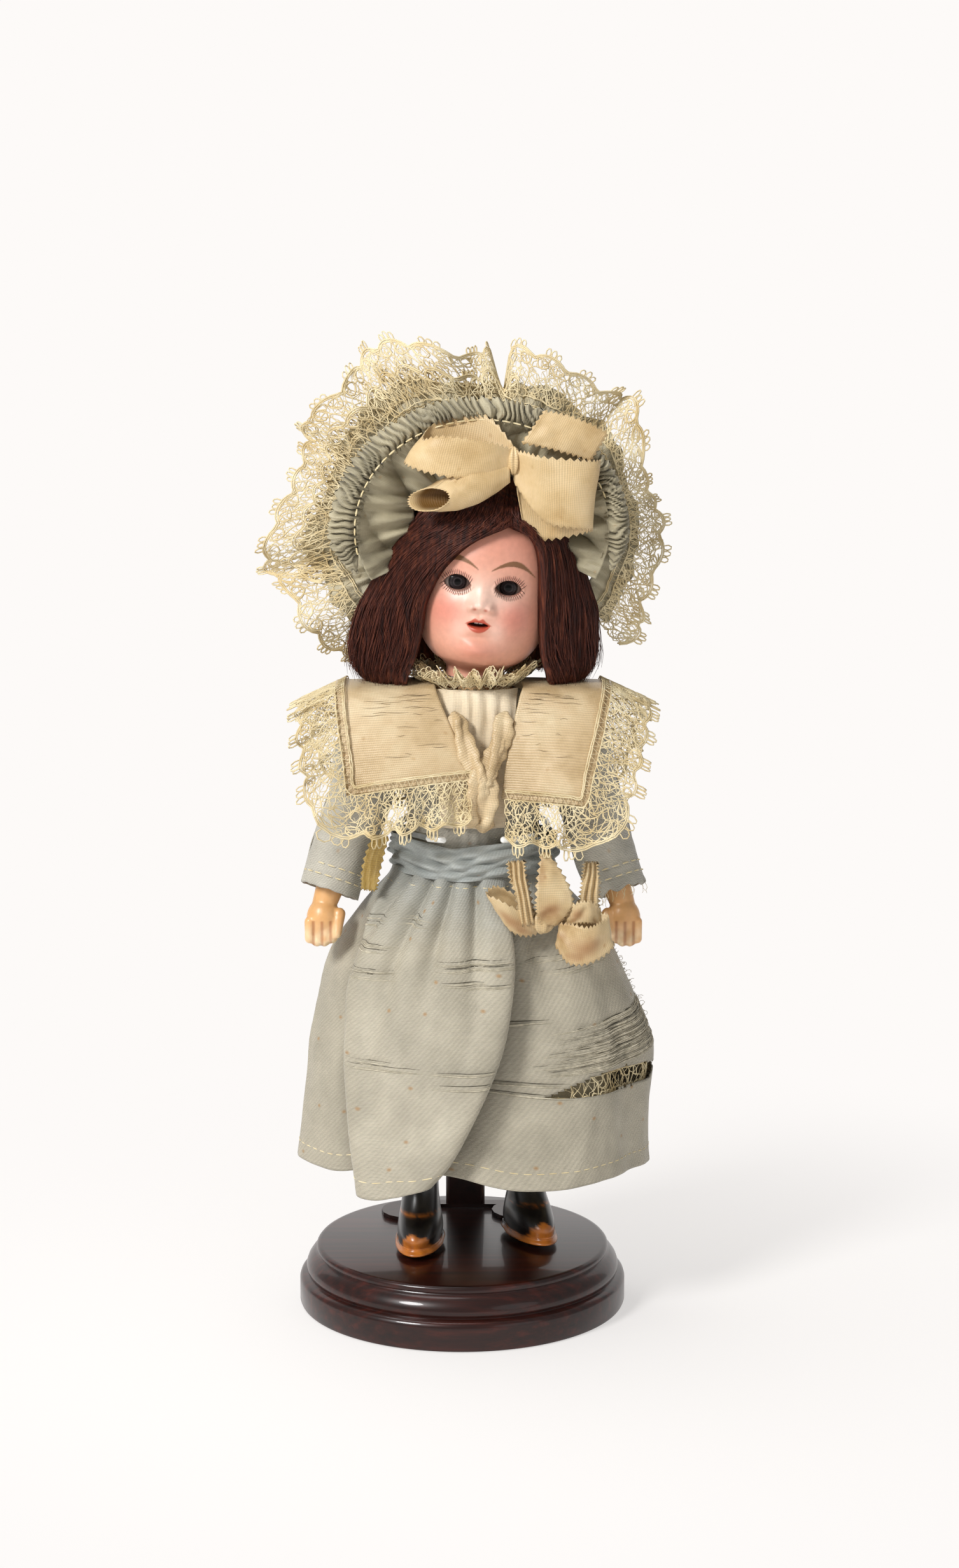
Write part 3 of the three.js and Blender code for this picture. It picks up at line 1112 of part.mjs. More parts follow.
// Clip: from the left tip round the waist, down into the sleeve, round the hairpin and up to the right tip.
function waistClip() {
  const [a, front, back] = read(TORSO, CLIP_Z).map((r) => r + BODICE_OUT + GAP + WIRE_R + 0.3);
  const prong = SLEEVE_W / 2 - SLEEVE_WALL - GAP - WIRE_R;
  const low = BASE_H + FOOT_T + HAIRPIN_LIFT;
  const level = DOLL_Z + CLIP_Z;
  const arm = (s) => {
    const x = SLEEVE_X + s * prong;
    return [
      vec(DOLL_X + s * CLIP_TIP_X, DOLL_Y - front - 3.2, level),
      vec(DOLL_X + s * a * 0.88, DOLL_Y - front * 0.72, level),
      vec(DOLL_X + s * (a + 0.6), DOLL_Y, level),
      vec(DOLL_X + s * a * 0.86, DOLL_Y + back * 0.85, level),
      vec(lerp(DOLL_X + s * a * 0.5, x, 0.45), SLEEVE_Y - 5, level),
      vec(x, SLEEVE_Y - 0.8, level - 1.2),
      vec(x, SLEEVE_Y, level - 4),
      vec(x, SLEEVE_Y, lerp(level, low, 0.35)),
      vec(x, SLEEVE_Y, lerp(level, low, 0.7)),
      vec(x, SLEEVE_Y, low + prong + 2),
      vec(SLEEVE_X + s * prong * 0.72, SLEEVE_Y, low + 1),
    ];
  };
  const route = [...arm(1), vec(SLEEVE_X, SLEEVE_Y, low), ...arm(-1).reverse()];
  add(whole, "waist_clip", tube(route, WIRE_R, 6, 50), STEEL);
  for (const [side, s] of SIDES) {
    const [tip, next] = arm(s);
    const out = tip.clone().sub(next).normalize();
    const nose = [[TIP_R, TIP_LENGTH - TIP_R], [TIP_R * 0.7, TIP_LENGTH - 0.5], [0, TIP_LENGTH]];
    const mesh = add(whole, `clip_tip_${side}`, turned([[0, 0], [TIP_R, 0], ...nose], 12), VINYL);
    mesh.quaternion.setFromUnitVectors(vec(0, 0, 1), out);
    mesh.position.copy(tip).addScaledVector(out, GAP);
  }
}

standBase();
standSleeve();
sleeveScrews();
torso();
arms();
legs();
stringing();
head();
sleepEyes();
teeth();
wig();
bonnet();
hatBow();
bodice();
dressSleeves();
skirts();
sash();
collars();
vestAndTie();
neckFrill();
hipBow();
waistClip();

export default whole;
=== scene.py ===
import json
import math
import random

import bmesh
import bpy
from bpy.props import FloatVectorProperty, IntProperty, PointerProperty
from mathutils import Matrix, Vector, noise

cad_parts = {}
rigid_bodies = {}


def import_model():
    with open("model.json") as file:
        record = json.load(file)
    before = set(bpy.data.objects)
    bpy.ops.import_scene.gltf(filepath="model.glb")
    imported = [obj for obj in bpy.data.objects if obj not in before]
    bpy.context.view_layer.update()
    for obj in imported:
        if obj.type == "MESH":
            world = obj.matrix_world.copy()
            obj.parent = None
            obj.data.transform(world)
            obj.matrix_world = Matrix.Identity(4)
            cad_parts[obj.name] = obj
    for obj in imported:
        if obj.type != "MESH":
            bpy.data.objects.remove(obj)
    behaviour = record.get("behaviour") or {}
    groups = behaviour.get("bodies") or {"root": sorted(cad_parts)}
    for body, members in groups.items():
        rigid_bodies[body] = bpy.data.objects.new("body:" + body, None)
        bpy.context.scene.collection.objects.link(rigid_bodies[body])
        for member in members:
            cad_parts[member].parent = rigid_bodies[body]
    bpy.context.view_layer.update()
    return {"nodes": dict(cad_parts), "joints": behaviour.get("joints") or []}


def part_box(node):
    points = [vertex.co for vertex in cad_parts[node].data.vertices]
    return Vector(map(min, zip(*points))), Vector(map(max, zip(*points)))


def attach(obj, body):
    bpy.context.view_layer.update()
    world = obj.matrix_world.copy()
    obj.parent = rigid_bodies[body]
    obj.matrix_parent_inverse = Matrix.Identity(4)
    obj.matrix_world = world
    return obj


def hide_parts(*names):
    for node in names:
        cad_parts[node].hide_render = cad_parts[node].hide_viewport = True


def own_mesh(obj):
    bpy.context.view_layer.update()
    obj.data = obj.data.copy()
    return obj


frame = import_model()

bl_info = {
    "name": "Dressed antique doll on a stand",
    "version": (1, 0, 0),
    "blender": (4, 5, 0),
    "location": "View3D > Sidebar > Doll",
    "description": "Bisque doll in a faded silk dress and lace bonnet, on its CAD frame",
    "category": "Object",
}

MM = 0.001
PIVOT = {joint["name"]: Vector(joint["pos_m"]) / MM for joint in frame["joints"]}

# Heights on the doll, mm above its soles.
NECK = 173.0
SHOULDER = 159.5
WAIST = 118.0
HEM = 26.0
HIP = 101.0
DOLL = PIVOT["head_turn"] - Vector((0.0, 0.0, NECK))
WORLD = Vector((0.0, 0.0, 0.0))
FRONT = Vector((0.0, -1.0, 0.0))
SIDES = {"left": 1, "right": -1}
# The skull's own axes: its middle stands above the neck, and the head leans to its left.
HEAD_LEAN = math.radians(7)
SKULL_UP = Matrix.Translation((0, 0, 34))
SKULL = Matrix.Translation((0, 0, NECK)) @ Matrix.Rotation(HEAD_LEAN, 4, "Y") @ SKULL_UP


def srgb(text):
    """Linear colour of an sRGB hex such as #b9bbb0."""
    parts = [int(text[i:i + 2], 16) / 255 for i in (1, 3, 5)]
    linear = [c / 12.92 if c <= 0.04045 else ((c + 0.055) / 1.055) ** 2.4 for c in parts]
    return (*linear, 1.0)


def clamp(value, low=0.0, high=1.0):
    return max(low, min(high, value))


def lerp(a, b, t):
    return a + (b - a) * t


def ease(value, low, high):
    t = clamp((value - low) / (high - low))
    return t * t * (3 - 2 * t)


def bump(value, centre, width):
    return math.exp(-(((value - centre) / width) ** 2))


def outward(p):
    """Level direction away from the doll's axis."""
    return Vector((p.x, p.y, 0)).normalized()


def rough(x, y, z=0.0):
    """Smooth noise between -1 and 1 over lengths of about one unit."""
    return noise.noise(Vector((x, y, z)))


def read(rows, key):
    """Smooth reading of a table whose rows are (key, value, ...)."""
    if key <= rows[0][0]:
        return rows[0][1:]
    if key >= rows[-1][0]:
        return rows[-1][1:]
    i = max(k for k in range(len(rows) - 1) if rows[k][0] <= key)
    before, low, high, after = rows[max(i - 1, 0)], rows[i], rows[i + 1], rows[min(i + 2, len(rows) - 1)]
    span = high[0] - low[0]
    t = (key - low[0]) / span
    out = []
    for k in range(1, len(low)):
        start = (high[k] - before[k]) / (high[0] - before[0]) * span
        end = (after[k] - low[k]) / (after[0] - low[0]) * span
        out.append(
            low[k] * (2 * t**3 - 3 * t**2 + 1) + start * (t**3 - 2 * t**2 + t)
            + high[k] * (3 * t**2 - 2 * t**3) + end * (t**3 - t**2)
        )
    return out


def along(points, t):
    """Point at share t of a smooth line through the points."""
    rows = [(i, *p) for i, p in enumerate(points)]
    return Vector(read(rows, t * (len(points) - 1)))


def oval(turn, a, front, back):
    """Point of an oval ring: turn 0 is the front, -Y, and grows towards +X."""
    return Vector((a * math.sin(turn), -(front if math.cos(turn) > 0 else back) * math.cos(turn), 0.0))


def grid(across, length, shape, ring=False, flip=False):
    """A grid whose corner at shares u, v lies at shape(u, v) mm, with a UV map in mm of cloth."""
    bm = bmesh.new()
    uv = bm.loops.layers.uv.new("Cloth")
    bmesh.ops.create_grid(bm, x_segments=across, y_segments=length, size=0.5, calc_uvs=True)
    share = {v: (clamp(v.co.x + 0.5), clamp(v.co.y + 0.5)) for v in bm.verts}
    for v, (s, t) in share.items():
        v.co = shape(s, t)
    level = [e for e in bm.edges if abs(share[e.verts[0]][1] - share[e.verts[1]][1]) < 1e-6]
    wide = sum(e.calc_length() for e in level)
    tall = sum(e.calc_length() for e in bm.edges) - wide
    size = (wide / (length + 1), tall / (across + 1))
    for face in bm.faces:
        for loop in face.loops:
            s, t = share[loop.vert]
            loop[uv].uv = (s * size[0], t * size[1])
    if ring:
        bmesh.ops.remove_doubles(bm, verts=bm.verts, dist=1e-3)
    if flip:
        bmesh.ops.reverse_faces(bm, faces=bm.faces)
    return bm, size


def closed(built):
    """The bmesh of a grid that closes on itself, with its faces turned outward."""
    bm = built[0]
    bmesh.ops.recalc_face_normals(bm, faces=bm.faces)
    return bm


def placed(name, data):
    """A new object in the scene."""
    obj = bpy.data.objects.new(name, data)
    bpy.context.scene.collection.objects.link(obj)
    return obj


def baked(holder):
    """The final mesh of a helper object, which is then removed with its data."""
    bpy.context.view_layer.update()
    graph = bpy.context.evaluated_depsgraph_get()
    mesh = bpy.data.meshes.new_from_object(holder.evaluated_get(graph))
    raw = holder.data
    bpy.data.objects.remove(holder)
    bpy.data.batch_remove([raw])
    return mesh


def to_mesh(name, bm):
    """A mesh from a bmesh, which is freed."""
    mesh = bpy.data.meshes.new(name)
    bm.to_mesh(mesh)
    bm.free()
    return mesh


def piece(name, bm, material, body, replaces=(), origin=DOLL, sharp=None):
    """Turns a bmesh in mm into a named piece that rides on a body."""
    bmesh.ops.transform(bm, matrix=Matrix.Scale(MM, 4) @ Matrix.Translation(origin), verts=bm.verts)
    return piece_of_mesh(name, to_mesh(name, bm), material, body, replaces, sharp)


def piece_of_mesh(name, mesh, material, body, replaces=(), sharp=None):
    mesh.name = name
    mesh.materials.clear()
    mesh.materials.append(material)
    mesh.polygons.foreach_set("use_smooth", [True] * len(mesh.polygons))
    if sharp is not None:
        mesh.set_sharp_from_angle(angle=math.radians(sharp))
    obj = placed(name, mesh)
    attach(obj, body)
    if replaces:
        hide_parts(*replaces)
    return obj


def thicken(obj, thickness, offset=0.0):
    solid = obj.modifiers.new("Thickness", "SOLIDIFY")
    solid.thickness = thickness * MM
    solid.offset = offset


def cloth(
    name, built, material, body, replaces=(), thickness=0.35,
):
    """A sheet of cloth from a grid, thickened both ways."""
    bm, size = built
    obj = piece(name, bm, material, body, replaces)
    thicken(obj, thickness)
    flat = tuple(max(0.01, side * MM) for side in size)
    return obj


def wear_and_shade_at(built, amount):
    """Stores the wear, stains and painted shade on each point of a grid of cloth, from amount(u, v)."""
    bm, size = built
    uv = bm.loops.layers.uv["Cloth"]
    layer = bm.verts.layers.float.new("WearAndShade")
    for v in bm.verts:
        at = v.link_loops[0][uv].uv
        v[layer] = clamp(amount(at[0] / size[0], at[1] / size[1]))
    return built


def threads(name, lines, material, body, replaces=()):
    """Fine round threads: each line is (points in mm, radius in mm or a list of radii)."""
    curve = bpy.data.curves.new(name, "CURVE")
    curve.dimensions = "3D"
    curve.bevel_depth = MM
    curve.bevel_resolution = 0
    curve.use_fill_caps = True
    for points, radius in lines:
        spline = curve.splines.new("POLY")
        spline.points.add(len(points) - 1)
        for i, (point, corner) in enumerate(zip(points, spline.points)):
            corner.co = (*((Vector(point) + DOLL) * MM), 1.0)
            corner.radius = radius[i] if isinstance(radius, list) else radius
    mesh = baked(placed(name + ".line", curve))
    return piece_of_mesh(name, mesh, material, body, replaces)


# One picot loop of the lace: mm along, share of its length.
PICOT = [(-0.42, 0), (-0.55, 0.6), (-0.22, 1), (0.22, 1), (0.55, 0.6), (0.42, 0)]


def lace(length, width, place, seed, cell=2.1, scallop=10.0, picot=1.7, header=True, stout=1.0):
    """Threads of a strip of bobbin lace; place(s, w) puts a point s mm along and w mm across it."""
    r = random.Random(seed)
    lines = []
    inner = 2.8 if header else 0.0
    count = max(1, round(length / scallop))
    scallop = length / count

    def rim(s):
        return width - 1.3 + 2.4 * abs(math.sin(math.pi * s / scallop)) ** 0.7

    steps = max(8, int(length / 1.2))
    stops = [length * i / steps for i in range(steps + 1)]
    if header:
        for w in (0.0, 0.55, inner):
            lines.append(([place(s, w + r.uniform(-0.12, 0.12)) for s in stops], 0.18 * stout))
        lines.append(([place(s, inner * (i % 2)) for i, s in enumerate(stops)], 0.15 * stout))
    for size, radius, kept in ((cell, 0.17, 0.88), (0.62 * cell, 0.1, 0.66)):
        columns, rows = int(length / size), max(1, round((width - inner) / size))
        spots = {}
        for i in range(columns + 1):
            for k in range(rows + 1):
                s = (i + 0.5 * (k % 2)) * length / columns + r.uniform(-0.42, 0.42) * size
                s = clamp(s, 0, length)
                w = inner + (k + r.uniform(-0.36, 0.36) * (0 < k)) * (width - inner) / rows
                spots[i, k] = (s, clamp(w, inner, rim(s)))
        for (i, k), (s, w) in spots.items():
            for other in ((i + 1, k), (i, k + 1), (i - 1 + 2 * (k % 2), k + 1)):
                if other not in spots or r.random() > kept or (other[1] == k and (i + k) % 2):
                    continue
                s2, w2 = spots[other]
                bow = r.uniform(-0.2, 0.2) * size
                middle = place((s + s2) / 2 + bow, (w + w2) / 2 + bow)
                thick = radius * stout * r.uniform(0.75, 1.2)
                lines.append(([place(s, w), middle, place(s2, w2)], thick))
    for i in range(count):
        middle = (i + 0.5) * scallop
        deep = rim(middle) - 0.26 * scallop - 0.7
        for at in (-0.24, 0.24):
            ring = []
            for k in range(10):
                turn = k * math.tau / 9
                size = 0.17 * scallop * (1 + 0.12 * math.sin(3 * turn + i))
                s = clamp(middle + at * scallop + size * math.cos(turn), 0, length)
                ring.append(place(s, deep + size * math.sin(turn)))
            lines.append((ring, 0.25 * stout))
        for k in (-1, 0, 1):
            s = middle + k * 0.15 * scallop
            w = rim(s)
            long = picot * r.uniform(0.8, 1.2)
            lines.append(([place(clamp(s + x, 0, length), w + y * long) for x, y in PICOT], 0.2 * stout))
    for lift in (0.0, -0.55):
        lines.append(([place(s, rim(s) + lift) for s in stops], 0.26 * stout))
    return lines


def dashes(place, length, stitch, gap, radius):
    """A row of running stitches along place(s); the middle of each stitch stands proud of its ends."""
    lines = []
    s = gap
    while s + stitch < length:
        ends = [place(s), place(s + stitch / 2), place(s + stitch)]
        lines.append((ends, [radius * 0.6, radius, radius * 0.6]))
        s += stitch + gap
    return lines


def add(tree, kind, values=None, links=None, ramp=(), **settings):
    """One node with its settings, values, links and ramp; a linked node gives its first output."""
    n = tree.nodes.new(kind)
    for key, value in settings.items():
        setattr(n, key, value)
    for key, value in (values or {}).items():
        n.inputs[key].default_value = value
    for key, source in (links or {}).items():
        tree.links.new(source.outputs[0] if hasattr(source, "outputs") else source, n.inputs[key])
    for i, (stop, colour) in enumerate(ramp):
        element = n.color_ramp.elements[i] if i < 2 else n.color_ramp.elements.new(stop)
        element.position = stop
        element.color = colour
    return n


def new_material(name, **values):
    """A material, its node tree and its shader with these socket values; _ stands for a space."""
    material = bpy.data.materials.new(name)
    material.use_nodes = True
    tree = material.node_tree
    shader = tree.nodes["Principled BSDF"]
    for key, value in values.items():
        shader.inputs[key.replace("_", " ")].default_value = value
    return material, tree, shader


def speckled(name, mouth_shadow, light, size_mm, roughness, metal=0.0, coat=0.0, bump_mm=0.0):
    """A plain finish whose colour drifts between two tones over patches of size_mm."""
    material, tree, shader = new_material(
        name, Roughness=roughness, Metallic=metal, Coat_Weight=coat, Coat_Roughness=0.06,
    )
    at = add(tree, "ShaderNodeTexCoord").outputs["Object"]
    patch = add(tree, "ShaderNodeTexNoise", {"Scale": 1 / (size_mm * MM), "Detail": 5.0}, {"Vector": at})
    tones = [(0.3, srgb(mouth_shadow)), (0.7, srgb(light))]
    tone = add(tree, "ShaderNodeValToRGB", links={0: patch}, ramp=tones)
    tree.links.new(tone.outputs[0], shader.inputs["Base Color"])
    if bump_mm:
        grain = add(tree, "ShaderNodeBump", {"Strength": 0.6, "Distance": bump_mm * MM}, {"Height": patch})
        tree.links.new(grain.outputs[0], shader.inputs["Normal"])
    return material


def fibrous(name, scale, noise_values, tones, **values):
    """Fibres that run one way: noise stretched by a scale per metre, read into three tones."""
    material, tree, shader = new_material(name, **values)
    at = add(tree, "ShaderNodeTexCoord").outputs["Object"]
    run = add(tree, "ShaderNodeMapping", {"Scale": scale}, {"Vector": at})
    fibre = add(tree, "ShaderNodeTexNoise", {"Scale": 1.0, **noise_values}, {"Vector": run})
    tone = add(tree, "ShaderNodeValToRGB", links={0: fibre}, ramp=tones)
    tree.links.new(tone.outputs[0], shader.inputs["Base Color"])
    return material


def mahogany(name):
    """French-polished mahogany: fine straight grain under a glossy coat."""
    tones = [(0.3, srgb("#150705")), (0.74, srgb("#47190f")), (0.52, srgb("#2a0e08"))]
    return fibrous(
        name, (18.0, 420.0, 420.0), {"Detail": 6.0, "Roughness": 0.6}, tones,
        Roughness=0.32, Specular_IOR_Level=0.3, Coat_Weight=0.35, Coat_Roughness=0.06,
    )


def mohair(name, main):
    """Mohair: brown-red fibres with lighter streaks and a soft gloss."""
    tones = [(0.34, srgb("#240d08")), (0.74, srgb("#753f29")), (0.52, main)]
    return fibrous(
        name, (900.0, 900.0, 45.0), {"Detail": 4.0, "Roughness": 0.65}, tones,
        Roughness=0.5, Specular_IOR_Level=0.3,
    )


# Woven cloth: tone of worn or split silk and of painted shade, mm of its lighter patches, mm between rust
# spots.
WEAR_AND_SHADE_SILK = "#4a4436"
DRIFT_MM = 16.0
SPOT_MM = 16.0


def weave(
    name, colours, warp_mm, weft_mm, roughness, sheen=0.2, wear_and_shade_tone=WEAR_AND_SHADE_SILK, spots=0.0,
    twill=0.0, fade=None, depth=0.08,
):
    """Woven cloth on the Cloth UV map in mm: ribs, drifting tone, rust spots, wear, stains and painted
    shade.
    """
    material, tree, shader = new_material(
        name, Roughness=roughness, Sheen_Weight=sheen, Sheen_Roughness=0.4,
    )
    at = add(tree, "ShaderNodeTexCoord").outputs["Object"]
    uv = add(tree, "ShaderNodeUVMap", uv_map="Cloth")
    patches = {"Scale": 1 / (DRIFT_MM * MM), "Detail": 5.0, "Roughness": 0.62}
    drift = add(tree, "ShaderNodeTexNoise", patches, {"Vector": at})
    tones = [(stop, srgb(colours[k])) for stop, k in ((0.28, 0), (0.72, 2), (0.5, 1))]
    colour = add(tree, "ShaderNodeValToRGB", links={0: drift}, ramp=tones).outputs[0]

    def over(share, tone):
        """The colour so far with a tone laid over a share of it."""
        links = {0: share, 6: colour}
        return add(tree, "ShaderNodeMix", {7: srgb(tone)}, links, data_type="RGBA").outputs[2]

    if fade:
        place = add(tree, "ShaderNodeSeparateXYZ", links={0: at})
        worn = add(tree, "ShaderNodeMath", {1: 0.022}, {0: drift}, operation="MULTIPLY")
        level = add(tree, "ShaderNodeMath", links={0: place.outputs[2], 1: worn}, operation="ADD")
        fresh = add(tree, "ShaderNodeMapRange", {1: fade[0] * MM, 2: fade[1] * MM}, {0: level})
        colour = over(fresh, fade[2])
    turned = add(tree, "ShaderNodeMapping", {"Rotation": (0, 0, twill)}, {"Vector": uv})
    waves = []
    for way, lies, thread_mm, wander in (("X", turned, warp_mm, 1.2), ("Y", uv, weft_mm, 1.6)):
        values = {"Scale": 0.314 / thread_mm, "Distortion": wander, "Detail": 2.0, "Detail Scale": 0.6}
        wave = add(tree, "ShaderNodeTexWave", values, {"Vector": lies}, bands_direction=way)
        waves.append(wave.outputs[1])
    ribs = add(tree, "ShaderNodeMath", {1: 0.6}, {0: waves[0], 2: waves[1]}, operation="MULTIPLY_ADD")
    shade = add(tree, "ShaderNodeMapRange", {1: 0.0, 2: 1.6, 3: 0.78, 4: 1.08}, {0: ribs})
    colour = multiplied(tree, colour, shade)
    if spots:
        scatter = {"Scale": 1 / SPOT_MM, "Randomness": 1.0}
        dots = add(tree, "ShaderNodeTexVoronoi", scatter, {"Vector": uv}, voronoi_dimensions="2D")
        near = add(tree, "ShaderNodeMapRange", {1: 0.012, 2: 0.05, 3: spots, 4: 0.0}, {0: dots})
        colour = over(near, "#a2773f")
    # Lays the worn tone by the point attribute: real wear and stains on some cloth, painted shade in
    # folds, creases and hollows on other cloth.
    colour = over(add(tree, "ShaderNodeAttribute", attribute_name="WearAndShade").outputs["Fac"], wear_and_shade_tone)
    tree.links.new(colour, shader.inputs["Base Color"])
    relief = add(tree, "ShaderNodeBump", {"Strength": 0.55, "Distance": depth * MM}, {"Height": ribs})
    tree.links.new(relief.outputs[0], shader.inputs["Normal"])
    return material


def multiplied(tree, colour, shade):
    """A colour darkened or lightened by a shade."""
    links = {6: colour, 7: shade}
    return add(tree, "ShaderNodeMix", {0: 1.0}, links, data_type="RGBA", blend_type="MULTIPLY").outputs[2]


def painted(name, roughness, coat=0.0, sub=0.0):
    """Paint laid on by hand: its colour is kept on the mesh's points."""
    material, tree, shader = new_material(
        name, Roughness=roughness, Coat_Weight=coat, Coat_Roughness=0.25,
        Subsurface_Weight=sub, Subsurface_Radius=(0.0012, 0.0006, 0.0004), Subsurface_Scale=1.0,
    )
    paint = add(tree, "ShaderNodeAttribute", attribute_name="Paint").outputs["Color"]
    at = add(tree, "ShaderNodeTexCoord").outputs["Object"]
    grain = add(tree, "ShaderNodeTexNoise", {"Scale": 1 / (1.6 * MM), "Detail": 4.0}, {"Vector": at})
    shade = add(tree, "ShaderNodeMapRange", {1: 0.3, 2: 0.7, 3: 0.94, 4: 1.04}, {0: grain})
    tree.links.new(multiplied(tree, paint, shade), shader.inputs["Base Color"])
    return material


def eye_glass(name):
    """Blown glass eye: milky ball, grey-brown iris, black pupil, all under clear glass."""
    material, tree, shader = new_material(
        name, Roughness=0.2, Specular_IOR_Level=0.12, Coat_Weight=0.15, Coat_Roughness=0.02,
    )
    paint = add(tree, "ShaderNodeAttribute", attribute_name="Paint")
    tree.links.new(paint.outputs["Color"], shader.inputs["Base Color"])
    return material


def paint_mesh(obj, colour_at):
    """Stores a colour for each vertex; colour_at gets the vertex's place in mm on the doll."""
    layer = obj.data.color_attributes.new("Paint", "FLOAT_COLOR", "POINT")
    for v, item in zip(obj.data.vertices, layer.data):
        item.color = colour_at(v.co / MM - DOLL)


def mix(a, b, t):
    return tuple(lerp(x, y, clamp(t)) for x, y in zip(a, b))


TWILL = math.radians(35)
# Cloths: real cloth, three tones, warp and weft mm, roughness, sheen, tone of wear and painted shade,
# strength of spots, angle of the twill, heights mm and tone of what has not faded, depth of the ribs mm.
CLOTHS = {
    "skirt": (
        "Faded blue silk", ("#a29b89", "#b2aa97", "#c2baa6"), 1.05, 0.42, 0.55, 0.2, WEAR_AND_SHADE_SILK, 0.7, TWILL,
        (128.0, 162.0, "#8f989b"), 0.16,
    ),
    "sash": (
        "Blue-grey silk", ("#949a98", "#a5a9a5", "#b5b6ae"), 0.8, 0.42, 0.55, 0.2, WEAR_AND_SHADE_SILK, 0.3, TWILL,
        None, 0.14,
    ),
    "sleeve": (
        "Grey silk", ("#9c988b", "#b2ada0", "#c4bfb0"), 0.8, 0.42, 0.55, 0.2, WEAR_AND_SHADE_SILK, 0.35, TWILL,
        None, 0.14,
    ),
    "hat": (
        "Grey-green silk", ("#857d66", "#a89e82", "#c2b798"), 0.5, 0.4, 0.55, 0.2, WEAR_AND_SHADE_SILK, 0.3, 0.0,
        None, 0.06,
    ),
    # The frill's worn tone is laid as painted shade under the roll and in random darker patches.
    "frill": (
        "Bleached silk", ("#aaa188", "#c3b99c", "#d8cdae"), 0.5, 0.4, 0.55, 0.2, "#8a836d", 0.3, 0.0,
        None, 0.06,
    ),
    "satin": (
        "Aged cream satin", ("#b2966a", "#ceb48b", "#decaa4"), 0.5, 0.75, 0.38, 0.1, WEAR_AND_SHADE_SILK, 0.35, 0.0,
        None, 0.1,
    ),
    # The ribbon's worn tone is only laid as painted shade inside the rolled loop of the bow.
    "ribbon": (
        "Cream taffeta ribbon", ("#bb9a66", "#d5b888", "#e3ca9f"), 0.45, 0.6, 0.45, 0.1, "#6d4a16",
        0.3, 0.0, None, 0.05,
    ),
    "hip": (
        "Stained cream ribbon", ("#a5814e", "#cbb083", "#dac59c"), 0.45, 0.6, 0.45, 0.15, "#8a5524",
        0.5, 0.0, None, 0.05,
    ),
    "side": ("Yellowed ribbon", ("#8f7434", "#ab8d48", "#c4a763"), 0.45, 0.6, 0.5),
    "lawn": ("Ecru cotton lawn", ("#d8c59a", "#e6d6b0", "#efe3c4"), 0.4, 0.4, 0.8),
    "vest": ("Pinkish lawn", ("#d9c5a4", "#e6d4b6", "#f0e2c9"), 0.45, 0.45, 0.7),
}
# Plain finishes: real material, two tones, mm of its patches, roughness, metal, coat, mm of relief.
PLAIN = {
    "lace": ("Ecru cotton lace", "#c9b384", "#e9dbb6", 7.0, 0.85, 0.0, 0.0, 0.03),
    "thread": ("Cream silk thread", "#d8c391", "#efe0b8", 4.0, 0.6),
    "split": ("Split silk threads", "#aaa28d", "#ddd4be", 1.6, 0.7),
    # Painted shadow: near-black threads that stand for the dark inside of the silk's slits.
    "slit_shadow": ("Painted shadow in silk splits", "#2c2a24", "#57513f", 2.0, 0.9),
    "weft": ("Split satin weft", "#5a4a33", "#8d7650", 3.0, 0.8),
    "teeth": ("Milk glass teeth", "#e9e2d6", "#f6f1e8", 2.0, 0.15, 0.0, 0.4),
    "lashes": ("Painted lashes", "#2a1712", "#3d241b", 1.0, 0.6),
    "brass": ("Lacquered brass", "#b58a34", "#dcb862", 3.0, 0.22, 1.0),
    "vinyl": ("White vinyl sleeve", "#dcdcd8", "#f2f2ee", 6.0, 0.18, 0.0, 0.6),
    "bronze": ("Bronzed sheet metal", "#1d0e0b", "#3a1c15", 5.0, 0.35, 0.35, 0.3),
    "wire": ("Tinned steel wire", "#8f8f8c", "#b9b9b4", 4.0, 0.3, 1.0),
    "body": ("Flesh composition", "#d79a66", "#e8b281", 9.0, 0.45, 0.0, 0.2),
    "elastic": ("Covered elastic cord", "#c9bfa8", "#e2dac4", 1.5, 0.9),
    "cork": ("Cork pate", "#a57a4c", "#c79f6d", 2.0, 0.9),
    "lead": ("Cast lead", "#5d5f61", "#7b7d7f", 4.0, 0.55, 0.7),
    "plaster": ("Plaster of Paris", "#d9d4c8", "#ece8de", 3.0, 0.95),
    "beech": ("Turned beech", "#b98a57", "#d3a873", 3.0, 0.6),
}
MADE = {}


def finish(key):
    """The cloth or plain finish of a key, made the first time it is asked for."""
    if key not in MADE:
        MADE[key] = weave(*CLOTHS[key]) if key in CLOTHS else speckled(*PLAIN[key])
    return MADE[key]


# Stand: radius and height of the turned base's outline, mm.
BASE_LINE = [
    (48.9, 0.0), (49.7, 0.3), (50.0, 1.0), (50.0, 7.4), (49.7, 8.4), (49.0, 9.0), (48.0, 9.2), (47.5, 9.5),
    (47.5, 10.0), (47.9, 10.6), (47.9, 11.8), (47.4, 13.2), (46.5, 14.5), (45.4, 15.4), (44.7, 15.8),
    (44.5, 16.2), (44.8, 16.8), (44.7, 17.7), (44.2, 18.3), (43.3, 18.5),
]
SCREW_LINE = [(3.0, 0.0), (3.0, 0.25), (2.75, 0.8), (2.2, 1.35), (1.2, 1.75), (0.0, 1.9)]


